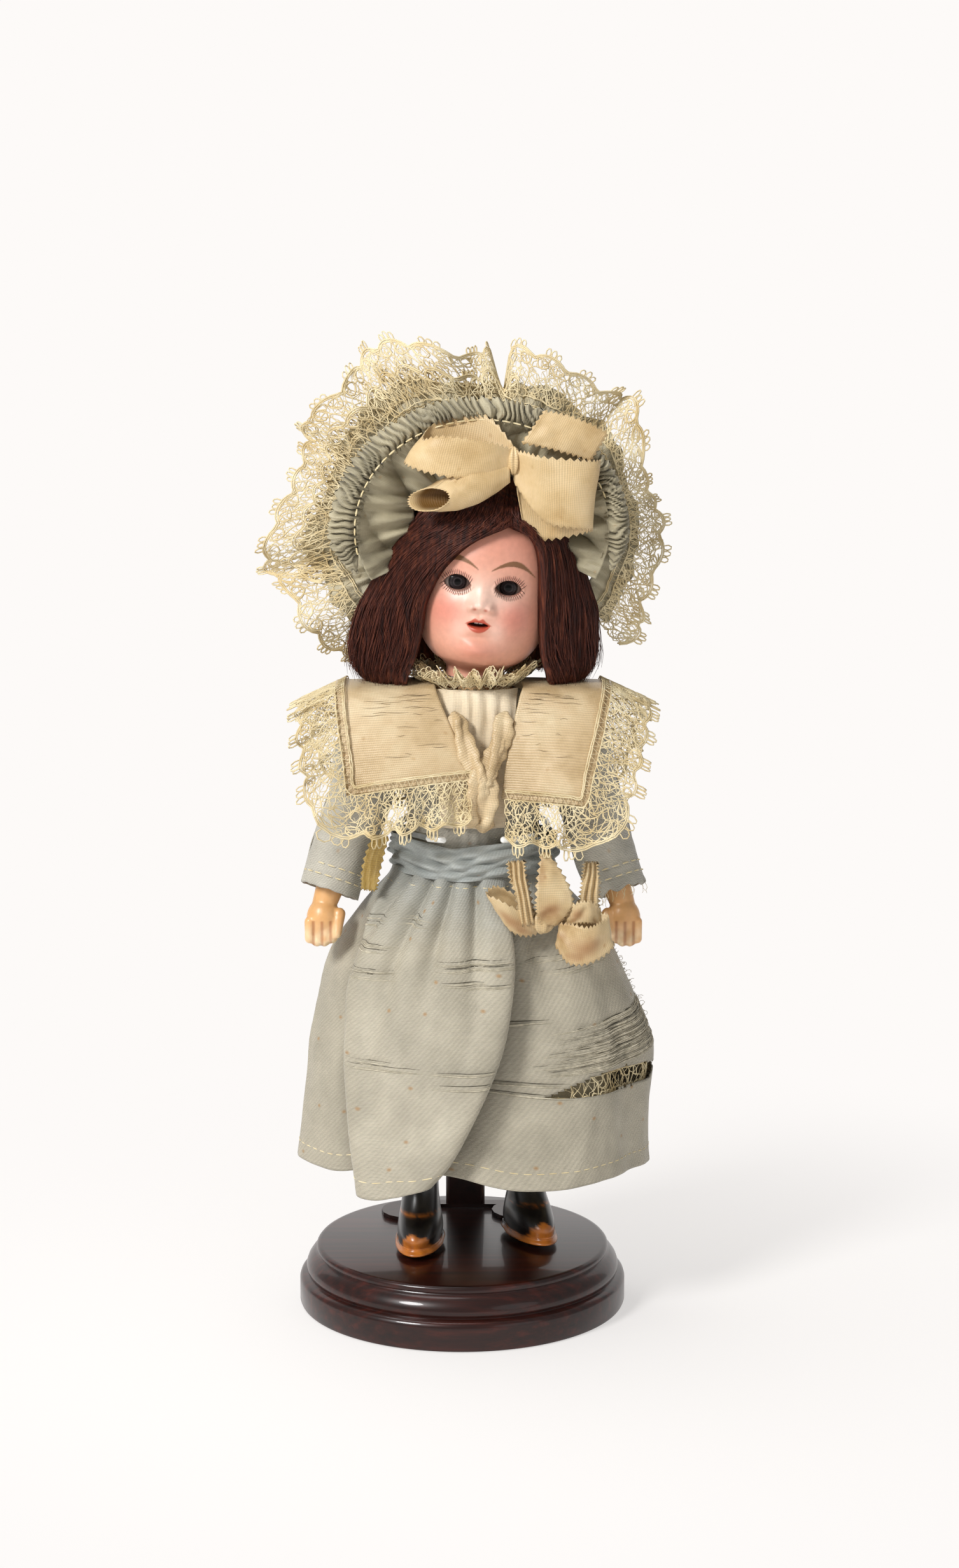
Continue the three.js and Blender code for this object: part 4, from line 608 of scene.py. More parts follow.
def spun(line, steps, centre=(0, 0, 0)):
    """A turned solid from its outline of (radius, height) points."""
    bm = bmesh.new()
    outline = [(0.0, line[0][1]), *line]
    if outline[-1][0] > 0:
        outline.append((0.0, outline[-1][1]))
    verts = [bm.verts.new((r, 0.0, z)) for r, z in outline]
    edges = [bm.edges.new(pair) for pair in zip(verts, verts[1:])]
    bmesh.ops.spin(
        bm, geom=verts + edges, cent=(0, 0, 0), axis=(0, 0, 1), angle=math.tau, steps=steps,
        use_merge=True,
    )
    bmesh.ops.remove_doubles(bm, verts=bm.verts, dist=1e-4)
    bmesh.ops.recalc_face_normals(bm, faces=bm.faces)
    bmesh.ops.translate(bm, vec=centre, verts=bm.verts)
    return bm


def cad_box(name):
    """High corner and middle of a CAD node's box, mm."""
    low, high = (Vector(corner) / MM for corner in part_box(name))
    return high, (low + high) / 2


def build_stand():
    wood = mahogany("Polished mahogany")
    piece("base_turned", spun(BASE_LINE, 160), wood, "stand", ["stand_base"], WORLD, 40)
    for side in SIDES:
        top, middle = cad_box("sleeve_screw_" + side)
        bm = spun(SCREW_LINE, 40, (middle.x, middle.y, top.z - SCREW_LINE[-1][1]))
        piece("screw_" + side, bm, finish("brass"), "stand", ["sleeve_screw_" + side], WORLD, 60)


# Sleeve on each end of the waist clip: half length and radius, mm.
TIP_HALF, TIP_R = 3.3, 1.0


# CAD nodes that are seen as they are, under their finish.
PLAIN_NODES = {
    "bronze": ["stand_sleeve"],
    "wire": ["waist_clip", "neck_hook", "leg_hook_left", "leg_hook_right", "eye_rocker"],
    "body": ["torso"],
    "elastic": ["leg_elastic", "arm_elastic"],
    "cork": ["pate"],
    "lead": ["eye_weight"],
    "plaster": ["eye_bearing_left", "eye_bearing_right"],
    "beech": ["neck_button"],
}


def build_hidden():
    """The soft tips of the clip, and the finishes of the CAD nodes that stay."""
    for side in SIDES:
        middle = cad_box("clip_tip_" + side)[1]
        bm = bmesh.new()
        bmesh.ops.create_uvsphere(bm, u_segments=24, v_segments=16, radius=TIP_R)
        for v in bm.verts:
            v.co.x += math.copysign(TIP_HALF - TIP_R, v.co.x) if abs(v.co.x) > 1e-4 else 0.0
        turn = math.atan2(middle.x - DOLL.x, DOLL.y - middle.y)
        bmesh.ops.rotate(bm, cent=(0, 0, 0), matrix=Matrix.Rotation(turn, 3, "Z"), verts=bm.verts)
        bmesh.ops.translate(bm, vec=middle, verts=bm.verts)
        piece("clip_sleeve_" + side, bm, finish("vinyl"), "torso", ["clip_tip_" + side], WORLD)
    for key, names in PLAIN_NODES.items():
        for name in names:
            mesh = frame["nodes"][name].data
            mesh.materials.clear()
            mesh.materials.append(finish(key))


# Legs: share of the way down, half width, half depth; boots: height, half width, toe, heel.
LEG = [
    (0, 6.6, 9.6), (0.2, 6.8, 8.4), (0.42, 6.1, 6.9), (0.6, 6.4, 7.0), (0.77, 5.3, 5.7), (0.85, 5.5, 6.0),
]
BOOT = [
    (11.5, 6.0, 9.0, 7.8), (8, 6.6, 14.2, 8.7), (5, 6.9, 16.9, 9.1), (2.3, 6.7, 16.8, 9.0),
    (1.9, 7.0, 17.3, 9.3), (0.2, 7.0, 17.2, 9.2),
]
# Each leg: side, mm its foot stands back, degrees its toe turns out.
LEGS = {"left": (1, 5.0, 20.0), "right": (-1, -6.0, -5.0)}
# Distance from the middle at the hip, what it grows by down to the sole, share down of the ankle.
LEG_X, LEG_SPREAD, ANKLE = 13.95, 2.6, 0.88


def build_legs(look):
    paint = painted("Painted stocking and boot", 0.34, 0.5)
    for name, (side, step, toe_out) in LEGS.items():
        rows = []
        for share in (0, 0.1, 0.2, 0.3, 0.42, 0.5, 0.6, 0.7, 0.77, 0.83):
            a, d = read(LEG, share)
            x = side * (LEG_X + LEG_SPREAD * share)
            rows.append((x, step * share, HIP * (1 - share), a, d, d, 0.0))
        top = (*rows[0][:2], HIP + 3, 0.1, 0.1, 0.1, 0.0)
        ankle = (side * (LEG_X + LEG_SPREAD * ANKLE), step * ANKLE)
        turned_out = math.radians(toe_out)
        for z, a, toe, heel in [*BOOT, (0.2, 0.1, 0.1, 0.1)]:
            rows.append((*ankle, z, a, toe, heel, turned_out))
        table = [(i, *row) for i, row in enumerate([top, *rows])]

        def shape(u, v):
            x, y, z, a, front, back, yaw = read(table, v * (len(table) - 1))
            p = oval(u * math.tau, max(a, 0.05), max(front, 0.05), max(back, 0.05))
            p = Matrix.Rotation(yaw, 3, "Z") @ p
            p += Vector((x, y, max(z, 0.2)))
            if z < 3:
                back_y = (p - Vector((x, y, 0))).y
                if -3.5 < back_y < 3.0:
                    p.z += 0.8
            return p

        bm = closed(grid(56, 150, shape, ring=True))
        obj = piece("leg_painted_" + name, bm, paint, "leg_" + name, ["leg_" + name])
        spin = Matrix.Rotation(-turned_out, 3, "Z")

        def colour(p):
            local = spin @ Vector((p.x - ankle[0], p.y - ankle[1], p.z))
            grain = 1.2 * rough(*(p * 0.5)) + 0.5 * rough(*(p * 1.6))
            bare = ease(2.3 + 0.35 * grain - local.z, -0.2, 0.4)
            toe = ease(-local.y - 12.6 + 1.1 * grain - 0.75 * max(0.0, local.z - 2.6), 0, 1.0)
            welt = bump(local.z, 10.6 + 0.3 * grain, 0.4) * ease(-local.y, 0, 3)
            welt *= ease(grain + 0.5, 0, 0.6)
            flesh = mix(srgb("#9a5418"), tuple(look.sole), 0.6 + 0.5 * grain)
            return mix(tuple(look.boot), flesh, max(bare, toe, 0.6 * welt))

        paint_mesh(obj, colour)


# Arms: drop from the shoulder, half width, half depth, mm.
ARM = [(0, 6.2, 7.6), (12, 6.2, 7.2), (24, 5.8, 6.4), (34, 5.4, 5.9), (44, 5.0, 5.2), (54, 3.9, 3.6)]
ARM_LONG, ARM_X, ARM_SPREAD = 54.0, 28.3, 16.5


def arm_centre(drop, side=1):
    """Middle of the arm at a drop from the shoulder, mm."""
    share = clamp(drop / ARM_LONG, 0, 1.3)
    y = 1.2 * math.sin(3 * share) - 0.22 * max(0.0, drop - 23.8)
    return Vector((side * (ARM_X + ARM_SPREAD * share**1.15), y, SHOULDER - drop))


def ball(bm, centre, size):
    place = Matrix.Translation(centre) @ Matrix.Diagonal((*size, 1))
    bmesh.ops.create_uvsphere(bm, u_segments=20, v_segments=14, radius=1.0, matrix=place)


def limb(bm, start, end, r0, r1):
    """A round-ended finger between two points."""
    for k in range(9):
        t = k / 8
        r = lerp(r0, r1, t)
        ball(bm, Vector(start).lerp(Vector(end), t), (r, r, r))


def remeshed(name, bm, voxel, smooth_steps):
    """One closed skin over a bmesh of overlapping shapes."""
    holder = placed(name + ".raw", to_mesh(name, bm))
    skin_over = holder.modifiers.new("Skin", "REMESH")
    skin_over.mode = "VOXEL"
    skin_over.voxel_size = voxel
    relax = holder.modifiers.new("Relax", "SMOOTH")
    relax.factor = 0.5
    relax.iterations = smooth_steps
    result = baked(holder)
    out = bmesh.new()
    out.from_mesh(result)
    bpy.data.meshes.remove(result)
    return out


def build_arms(look):
    paint = painted("Painted flesh composition", 0.4, 0.2, 0.05)
    for name, side in SIDES.items():
        def shape(u, v):
            drop = v * 55
            a, d = read(ARM, drop)
            end = 1 if v < 0.999 and v > 0.001 else 0.05
            return arm_centre(drop, side) + oval(u * math.tau, a * end, d * end, d * end)

        bm = closed(grid(24, 40, shape, ring=True))
        wrist = arm_centre(53, side)
        lean = Vector((side * 0.12, -0.1, -1.0))
        ball(bm, wrist + lean * 5.0 + Vector((0, -0.6, 0)), (5.2, 5.0, 6.2))
        for k, x in enumerate((-3.9, -1.35, 1.3, 3.8)):
            root = wrist + lean * 5.5 + Vector((x, -3.2, 0))
            tip = wrist + lean * (11.3 - (0.9 if k in (0, 3) else 0)) + Vector((x * 0.86, -3.4, 0))
            limb(bm, root, tip, 1.75, 1.6)
            limb(bm, tip, tip + Vector((0, 4.2, 1.8)), 1.6, 1.5)
        thumb = wrist + lean * 3.2 + Vector((-side * 4.6, -2.6, 0))
        limb(bm, thumb, thumb + Vector((side * 0.6, -2.6, -5.6)), 1.9, 1.35)
        bm = remeshed("arm_" + name, bm, 0.42, 3)
        obj = piece("arm_painted_" + name, bm, paint, "arm_" + name, ["arm_" + name])

        def colour(p):
            low = ease(wrist.z - 4 - p.z, 0, 7)
            groove = 0.0
            if p.z < wrist.z - 5 and p.y < wrist.y - 3.2:
                for x in (-2.6, 0.0, 2.55):
                    groove = max(groove, bump(p.x - wrist.x - side * 0.9, x, 0.45))
            patch = rough(*(p * 0.4))
            tone = mix(tuple(look.hand), srgb("#cf8446"), 0.4 * low + 0.3 * patch)
            rubbed = low * ease(wrist.y - 3.4 - p.y, -1.0, 1.5) * clamp(0.75 + 0.8 * patch)
            return mix(mix(tone, srgb("#f4dcb2"), 0.95 * rubbed), srgb("#9a5526"), 0.75 * groove)

        paint_mesh(obj, colour)


# Head: height from the skull's centre, half width, front, back, mm.
HEAD = [
    (-33, 8.7, 8.7, 8.7), (-30.2, 8.8, 9.0, 8.7), (-28.6, 10.6, 12.4, 9.0), (-26.6, 13.6, 16.6, 10),
    (-23, 16.7, 19.2, 12.4), (-19, 18.6, 20.2, 14.6), (-14.5, 19.6, 20.6, 17.0), (-10, 20.0, 20.7, 19),
    (-5, 20.1, 20.7, 20.5), (0, 20.1, 20.9, 21), (6, 19.4, 20.3, 20.6), (12, 17.2, 18.2, 18.6),
    (18, 12.9, 13.6, 14.4), (22, 7.6, 8, 8.6), (24, 0.3, 0.3, 0.3),
]
EYE = Vector((7.5, -11.6, -3.4))
EYE_R = 5.4
LID = (4.0, 2.35)
FACE_X = -0.9
MOUTH_Z = -14.9
BROW = [
    (-5.6, 4.7, 0.16), (-3, 6.3, 0.5), (0, 7.3, 0.8), (2.5, 7.1, 0.85), (5, 5.8, 0.5), (7.4, 3.8, 0.14),
]


def lid_gap(x, z):
    """About how far inside the almond eye opening a face point lies, mm; negative is on the skin."""
    dx = abs(abs(x) - EYE.x) / LID[0]
    dz = abs(z - EYE.z + 0.25 * dx * dx) / LID[1]
    return 1.7 * (1 - dx * dx - dz ** (4 / 3))


def lip_half(x, reach):
    return max(0.0, 1 - (x / reach) ** 2)


def mouth_gap(x, z):
    """How far inside the open mouth a face point lies, mm."""
    return 0.9 * lip_half(x, 3.2) ** 0.8 - abs(z - MOUTH_Z) if abs(x) < 3.2 else -1.0


def relief(x, z):
    """Modelling of the face: mm that the skin stands out from the plain oval."""
    side = abs(x)
    nose = 2.2 * bump(side, 0, lerp(3.0, 2.7, ease(z, -9, -3))) * bump(z, -8.9, 4.8 if z > -8.9 else 2.0)
    nose += 0.9 * bump(math.hypot(side, z + 9.2), 0, 1.9)
    wings = 1.7 * bump(side, 2.9, 1.25) * bump(z, -9.7, 1.45)
    lips = 0.95 * bump(side, 0, 2.9) * (bump(z, -13.4, 1.1) + 1.05 * bump(z, -16.5, 1.15))
    groove = -0.35 * bump(side, 0, 0.8) * bump(z, -11.8, 1.0)
    chin = 1.6 * bump(side, 0, 4.8) * bump(z, -22.4, 2.6) - 0.5 * bump(side, 0, 5) * bump(z, -18.8, 0.9)
    cheeks = 1.2 * bump(side, 10, 5.5) * bump(z, -11, 5.5)
    hollow = -1.5 * bump(side, EYE.x, 4.4) * bump(z, EYE.z, 3)
    gap = lid_gap(x, z)
    rim = 0.3 * bump(gap, -0.45, 0.5)
    return nose + wings + lips + groove + chin + cheeks + hollow + rim


def skin(turn, z):
    """Point of the bisque head, in the skull's own axes."""
    a, front, back = read(HEAD, z)
    p = oval(turn, max(a, 0.2), max(front, 0.2), max(back, 0.2))
    facing = max(0.0, math.cos(turn)) ** 0.6
    p.y -= relief(p.x - FACE_X, z) * facing
    if facing > 0:
        x = p.x - FACE_X
        p.y += facing * (6.0 * ease(lid_gap(x, z), -0.02, 0.4) + 3.4 * ease(mouth_gap(x, z), -0.02, 0.4))
    p.z = z
    return p


def face_point(x, z, proud=0.05):
    """Point on the front of the face at x, z, a little proud of the skin."""
    a, front, back = read(HEAD, z)
    turn = math.asin(clamp((x + FACE_X) / a, -1, 1))
    p = oval(turn, a, front, back)
    p.y -= relief(x, z) * max(0.0, math.cos(turn)) ** 0.6 + proud
    p.z = z
    return SKULL @ p


def build_head(look):
    bisque = painted("Tinted bisque", 0.42, 0.08, 0.12)
    lowest = HEAD[0][0]

    def shape(u, v):
        even = u * math.tau
        return SKULL @ skin(even - 0.55 * math.sin(even), lerp(lowest, HEAD[-1][0], v))

    bm = closed(grid(300, 250, shape, ring=True))
    obj = piece("head_bisque", bm, bisque, "head", ["head"])
    back_to_skull = SKULL.inverted()
    base, highlight_tone, blush = tuple(look.bisque), srgb("#f0cfbd"), tuple(look.blush)
    lip, brow, mouth_shadow = tuple(look.lips), srgb("#6d4820"), srgb("#240c08")

    def colour(p):
        q = back_to_skull @ p
        x, z, side = q.x - FACE_X, q.z, abs(q.x - FACE_X)
        if q.y > 0:
            return base
        # Painted highlight: paler skin over the nose, below the eyes and beside the mouth.
        nose = 0.75 * bump(side, 0, 6) * bump(z, -7, 7)
        tone = mix(base, highlight_tone, nose + 0.55 * bump(side, 7.5, 5) * bump(z, -6.5, 4))
        tone = mix(tone, highlight_tone, 0.6 * bump(side, 5.6, 2.6) * bump(z, -16, 3.4))
        tone = mix(tone, blush, 0.65 * bump(side, 10.4, 5.6) * bump(z, -11.8, 5.4))
        tone = mix(tone, blush, 0.4 * bump(side, 0, 6) * bump(z, -23, 3) + 0.3 * bump(z, 12, 10))
        tone = mix(tone, blush, 0.3 * bump(lid_gap(x, z), -0.9, 0.6) * ease(z, -3.2, -1.5))
        upper = MOUTH_Z + (1.5 + 0.75 * bump(side, 1.25, 0.85)) * lip_half(x, 4.0) ** 0.8
        lower = MOUTH_Z - 2.3 * lip_half(x, 3.5) ** 0.8
        if side < 4.0:
            tone = mix(tone, lip, ease(upper - z, -0.12, 0.25) * ease(z - lower, -0.12, 0.25))
        # Painted shadow: the skin pushed back inside the open mouth is coloured near black.
        tone = mix(tone, mouth_shadow, ease(mouth_gap(x, z), 0.15, 0.5))
        tone = mix(tone, lip, 0.85 * bump(math.hypot(side - 1.6, (z + 10.1) * 1.3), 0, 0.55))
        lift, half = read(BROW, side - EYE.x)
        if BROW[0][0] < side - EYE.x < BROW[-1][0]:
            ragged = 0.12 * rough(x * 3.1, z * 3.1)
            tone = mix(tone, brow, 0.9 * ease(half + ragged - abs(z - EYE.z - lift), -0.12, 0.18))
        # Painted shade: a brown line at the rim of each eye opening, and the recessed walls inside it in
        # the same brown.
        tone = mix(tone, srgb("#6b3a2c"), 0.7 * ease(lid_gap(x, z), -0.16, 0.05))
        return tone

    paint_mesh(obj, colour)
    glass = eye_glass("Brown glass eye")
    for name, side in SIDES.items():
        centre = Vector((side * EYE.x + FACE_X, EYE.y, EYE.z))
        bm = bmesh.new()
        bmesh.ops.create_uvsphere(
            bm, u_segments=72, v_segments=72, radius=EYE_R,
            matrix=SKULL @ Matrix.Translation(centre) @ Matrix.Rotation(math.radians(90), 4, "X"),
        )
        ball_obj = piece("eye_glass_" + name, bm, glass, "eyes", ["eye_" + name])

        def eye_colour(p, centre=centre):
            d = ((back_to_skull @ p) - centre).normalized()
            off = math.degrees(math.acos(clamp(-d.y, -1, 1)))
            if d.z > 0.66:
                return srgb("#dda98f")
            # Painted shade: the white of the eye is coloured a darker grey-brown, as if in the lids'
            # shade.
            sclera_in_shade = srgb("#7a6d66")
            ray = 0.75 + 0.25 * math.sin(23 * math.atan2(d.x, d.z))
            ring = max(bump(off, 13, 2.2), 0.75 * bump(off, 21, 3.2)) * ray
            iris = mix(srgb("#0d0a09"), srgb("#40383a"), ring)
            return mix(mix(srgb("#050303"), iris, ease(off, 8, 10)), sclera_in_shade, ease(off, 29, 31.5))

        paint_mesh(ball_obj, eye_colour)
    bm = bmesh.new()
    for k, x in enumerate((-1.95, -0.66, 0.66, 1.95)):
        tall = 0.85 if k in (1, 2) else 0.7
        place = SKULL @ Matrix.Translation((x + FACE_X, -18.7 + 0.09 * x * x, MOUTH_Z + 1.05 - tall / 2))
        bmesh.ops.create_cube(bm, size=1.0, matrix=place @ Matrix.Diagonal((1.22, 0.8, tall, 1)))
    bmesh.ops.bevel(
        bm, geom=bm.edges[:], offset=0.18, segments=3, affect="EDGES", profile=0.5, material=-1,
    )
    piece("teeth_set", bm, finish("teeth"), "head", ["teeth"])
    lines = []
    r = random.Random(11)
    for side in (-1, 1):
        for k in range(17):
            t = lerp(-0.92, 0.98, k / 16)
            dx = t * LID[0]
            half = LID[1] * (1 - t * t) ** 0.75
            for up, count_length in ((1, 2.0), (-1, 1.7)):
                length = count_length * r.uniform(0.8, 1.1) * (0.75 + 0.35 * abs(t))
                x0, z0 = EYE.x + dx, EYE.z + up * (half + 0.05)
                x1 = x0 + 0.55 * length * t + 0.2 * length
                z1 = z0 + up * length * (1 - 0.35 * abs(t))
                mid = ((x0 + x1) / 2 + 0.05, (z0 + z1) / 2)
                points = [face_point(side * x, z, 0.14) for x, z in ((x0, z0), mid, (x1, z1))]
                lines.append((points, [0.1, 0.075, 0.025]))
    threads("lashes_painted", lines, finish("lashes"), "head")


# Wig: height, half width, front, back; and the edge of the hair round the face as (x, height).
HAIR = [
    (171, 31.0, 13, 25.5), (177.4, 35.4, 14.2, 27), (184, 36.4, 15.6, 27.5), (194.4, 35, 18, 27),
    (200, 32.6, 19.6, 26.6), (206.3, 29.8, 21.3, 26), (214, 26, 22.2, 25), (220, 22.4, 21.2, 23.2),
    (228, 16, 15.5, 17.5), (233.9, 6, 6, 7),
]
HAIR_EDGE_L = [
    (165, -21), (175, -20), (181, -17.6), (190, -15.6), (198, -14.6), (207.5, -10.4), (212.6, -5.8),
    (217.6, 1.0), (221, 10.0),
]
HAIR_EDGE_R = [
    (165, 23.5), (175, 22.8), (181, 21.0), (190, 20.4), (203, 20.4), (211, 20.0), (216, 18.6), (219, 16.0),
    (221, 11.0),
]
PARTING = 11.0
STRAND_STEPS = 12


def hair_ring(z):
    a, front, back = read(HAIR, z)
    lean = math.tan(HEAD_LEAN) * max(0.0, z - 185) * 0.9
    return lean, max(a, 0.3), max(front, 0.3), max(back, 0.3)


def hair_turns(z):
    """Turn angles, from the front, where the hair starts beside the face at a height."""
    lean, a = hair_ring(z)[:2]
    if z >= 221:
        at = math.asin(clamp((PARTING - lean) / a, -0.95, 0.95))
        return at, at
    left = math.asin(clamp((read(HAIR_EDGE_L, z)[0] - lean) / a, -0.98, 0.98))
    right = math.asin(clamp((read(HAIR_EDGE_R, z)[0] - lean) / a, -0.98, 0.98))
    return left, right


def hair_point(share, z, out=0.0):
    """Point of the hair's outside, from share 0 on the face's right round the back to 1 on its left."""
    lean, a, front, back = hair_ring(z)
    left, right = hair_turns(z)
    turn = lerp(left, right - math.tau, share)
    p = oval(turn, a + out, front + out, back + out)
    return Vector((p.x + lean, p.y + 0.5, z))


def build_wig(look):
    fibres = mohair("Auburn mohair", tuple(look.hair))

    def shape(u, v):
        low = 173.6 + 1.4 * rough(u * 60, 4.0) + 1.0 * rough(u * 150, 9.0)
        z = lerp(low, 233.8, v)
        clump = 0.9 * rough(u * 46, z * 0.03) + 0.5 * rough(u * 120, z * 0.05, 5)
        return hair_point(u, z, -1.3 + clump)

    thicken(piece("wig_base", grid(260, 90, shape)[0], fibres, "head", ["wig"]), 2.2)
    r = random.Random(23)
    lines = []
    for _ in range(bpy.context.scene.doll_sizes.hair_strands):
        share = r.random()
        if r.random() < 0.45:
            share = r.choice((r.random() ** 2 * 0.22, 1 - r.random() ** 2 * 0.22))
        low = 172.2 + 6.0 * r.random() ** 2
        high = 231.0 - r.uniform(0, 5)
        out = r.uniform(-0.5, 0.8)
        phase, wave = r.uniform(0, 6.28), r.uniform(0.1, 0.9)
        drift = r.uniform(-0.025, 0.025)
        tip = r.uniform(-1.5, 0.8) if r.random() < 0.94 else r.uniform(1.0, 3.6)
        points = []
        for k in range(STRAND_STEPS + 1):
            t = k / STRAND_STEPS
            z = lerp(low, high, t)
            s = share + drift * (1 - t) ** 2 + 0.006 * wave * math.sin(phase + 8 * t)
            flare = out + 0.55 * wave * math.sin(phase + 6 * t) + tip * (1 - t) ** 5
            points.append(hair_point(clamp(s, 0.0005, 0.9995), z, flare))
        thin = r.uniform(0.07, 0.16)
        lines.append((points, [thin * (0.35 + 0.65 * min(1, k / 2)) for k in range(STRAND_STEPS + 1)]))
    threads("wig_strands", lines, fibres, "head")


# Bonnet: the roll, funnel and ruffle stand round one oval ring in front of the ears.
RUFFLE_FROM, RUFFLE_TO = math.radians(-41), math.radians(226)
ROLL_FROM, ROLL_TO = math.radians(-20), math.radians(202)
ROLL_OUT, ROLL_Y, ROLL_R = 40.0, -12.0, 4.1
ROLL_RIBS = 70
RUFFLE_IN, RUFFLE_DEEP = 37.0, 17.5
HAT_X, HAT_Z = 2.8, 219.0
# Crown: step from the roll to the back, mm out from the middle, y.
CROWN = [
    (-1, 36.2, -11.5), (0, 34.15, -1), (1, 34.65, 8), (2, 32.65, 18), (3, 24.65, 28), (4, 14.65, 33.5),
    (5, 0.2, 36.5),
]


def hat_point(turn, out, y):
    """Point of the bonnet: turn from the doll's left over its top, mm out from the bonnet's middle."""
    free = clamp((out - ROLL_OUT) / RUFFLE_DEEP)
    lift = lerp(0.866, 0.93, free)
    return Vector((HAT_X - 4.4 * free + out * math.cos(turn), y, HAT_Z + out * lift * math.sin(turn)))


def ruffle_point(turn, out):
    """Point of the ruffle: it swings forward and back, leans sideways, and is nicked above the bow."""
    f = clamp((out - RUFFLE_IN) / RUFFLE_DEEP, 0, 1.5)
    swing = 9.6 * (turn - RUFFLE_FROM) + 1.9 * rough(turn * 1.7, 2.0)
    y = 1.0 + 5.5 * f + f * (5.0 * math.sin(swing) + 1.2 * math.sin(2.3 * swing + 1))
    reach = out + f * (2.4 * math.sin(0.5 * swing + 0.7) + 1.7 * math.sin(swing + 1.2))
    reach -= 9.0 * f * f * bump(turn, math.radians(79), 0.05)
    return hat_point(turn + 0.032 * f * math.cos(swing), reach, y)


def build_bonnet():
    hat_silk = finish("hat")

    def crown(u, v):
        turn = u * math.tau - math.pi / 2
        brimmed = ease(turn, ROLL_FROM - 0.1, ROLL_FROM + 0.1) * ease(ROLL_TO - turn, -0.1, 0.1)
        out, y = read(CROWN, max(lerp(-1, 5, v), -brimmed))
        fold = 0.5 * math.cos(34 * turn + 2 * math.sin(3 * turn)) * bump(v, 0.37, 0.25)
        return hat_point(turn, max(out + fold - 0.3, 0.1), y)

    built = grid(220, 60, crown, ring=True)
    cloth("bonnet_crown", built, hat_silk, "head", ["hat_crown"])

    def facing(u, v):
        turn = lerp(ROLL_FROM - 0.12, ROLL_TO + 0.1, u)
        ridge = 1 - 2 * abs(math.sin(6.5 * turn + 2.4 * v + 1.3 * math.sin(3 * turn))) ** 0.7
        swirl = 1.3 * ridge + 0.7 * math.sin(29 * turn - 3 * v + 2 * rough(turn * 3, v))
        fold = 2.0 * swirl * (0.25 + 0.75 * math.sin(math.pi * (0.15 + 0.7 * v)))
        fold += 0.7 * abs(math.sin(ROLL_RIBS * math.pi * u)) * v**3
        tuck = 2.0 * (1 - min(1.0, 8 * min(u, 1 - u)))
        inner = 17.5 + 4.0 * math.cos(turn) ** 2
        out = lerp(inner, 37.0, v**0.8) + fold * 0.4 * (1 - v)
        return hat_point(turn, out, lerp(-3.0, -13.2, v) + 1.1 * fold * (1 - 0.6 * v) + tuck)

    cloth("bonnet_facing", grid(420, 34, facing), hat_silk, "head", ["hat_brim"])

    def gathered(u, v):
        """Turn, angle round the roll, rib count so far and height of the rib there."""
        turn = lerp(ROLL_FROM, ROLL_TO, u)
        ring = v * math.tau
        uneven = 1.5 * rough(turn * 6, 0.6 * math.cos(ring), 2)
        phase = u * ROLL_RIBS + 0.5 * math.sin(ring + 3 * turn) + uneven
        return turn, ring, phase, abs(math.sin(math.pi * phase)) ** 0.7

    def roll(u, v):
        turn, ring, phase, rib = gathered(u, v)
        end = min(1.0, 12 * min(u, 1 - u) + 0.15)
        drawn = 0.18 * bump(ring, 2.3, 0.25)
        fine = 0.06 * math.sin(math.tau * (2.6 * phase + 0.2 * ring))
        full = 0.52 + 0.5 * rib + fine - drawn + 0.1 * rough(turn * 3, math.cos(ring) * 1.5, 7)
        r = ROLL_R * end * full
        return hat_point(turn, ROLL_OUT + r * math.cos(ring), ROLL_Y - r * math.sin(ring))

    # Painted shade in the hollows between the gathered ribs of the roll, laid with the silk's worn tone.
    def hollow(u, v):
        return 0.75 * (1 - gathered(u, v)[3]) ** 1.6

    bm = closed(wear_and_shade_at(grid(1180, 26, roll, ring=True), hollow))
    piece("bonnet_roll", bm, hat_silk, "head", ["hat_brim_roll"])

    def frill(u, v):
        turn = lerp(RUFFLE_FROM, RUFFLE_TO, u)
        rim = 49.0 + 2.6 * rough(turn * 4.2, 5.0) + 1.4 * rough(turn * 11, 6.0)
        p = ruffle_point(turn, lerp(36.8, rim, v))
        pleat = 1.3 * math.sin(41 * turn + 3 * rough(turn * 5, 1.0)) * (1 - v)
        p.y += pleat + 0.8 * math.sin(23 * turn + 4 * v) * v
        return p

    # Painted shade towards the frill's inner edge under the roll, with random darker patches.
    def shaded(u, v):
        return 0.5 * ease(v, 0.45, 0.0) + 0.3 * ease(rough(u * 34, v * 2, 8), 0.1, 0.5)

    length, edge_to = 268.0, math.radians(235)

    def edge(s, w, back=0.0, start=42.5):
        turn = lerp(RUFFLE_FROM - 0.03, edge_to, s / length)
        wander = 1.3 * rough(s * 0.07, back + 3.0) + 0.5 * rough(s * 0.3, back)
        p = ruffle_point(turn, start + wander * (1 - w / 16) + w)
        p.y += back - 1.2 + 0.5 * math.sin(41 * turn) * (1 - w / 15) + 0.6 * rough(s * 0.35, w * 0.4, 3)
        return p

    def doubled(s, w):
        return edge(s + 112.0, w, -1.9, 40.6)

    pattern = lace(length, 15.4, edge, 5, 1.9, 9.0, 1.9, stout=1.15)
    trim = threads("bonnet_lace", pattern, finish("lace"), "head", ["hat_lace"])
    pattern = lace(126.0, 10.5, doubled, 6, 2.9, 8.0, 1.6)
    second = threads("bonnet_lace_fold", pattern, finish("lace"), "head")
    cloth(
        "bonnet_frill", wear_and_shade_at(grid(760, 18, frill), shaded), finish("frill"), "head",
        ["hat_frill"],
    )

    sewn_length = 118.0

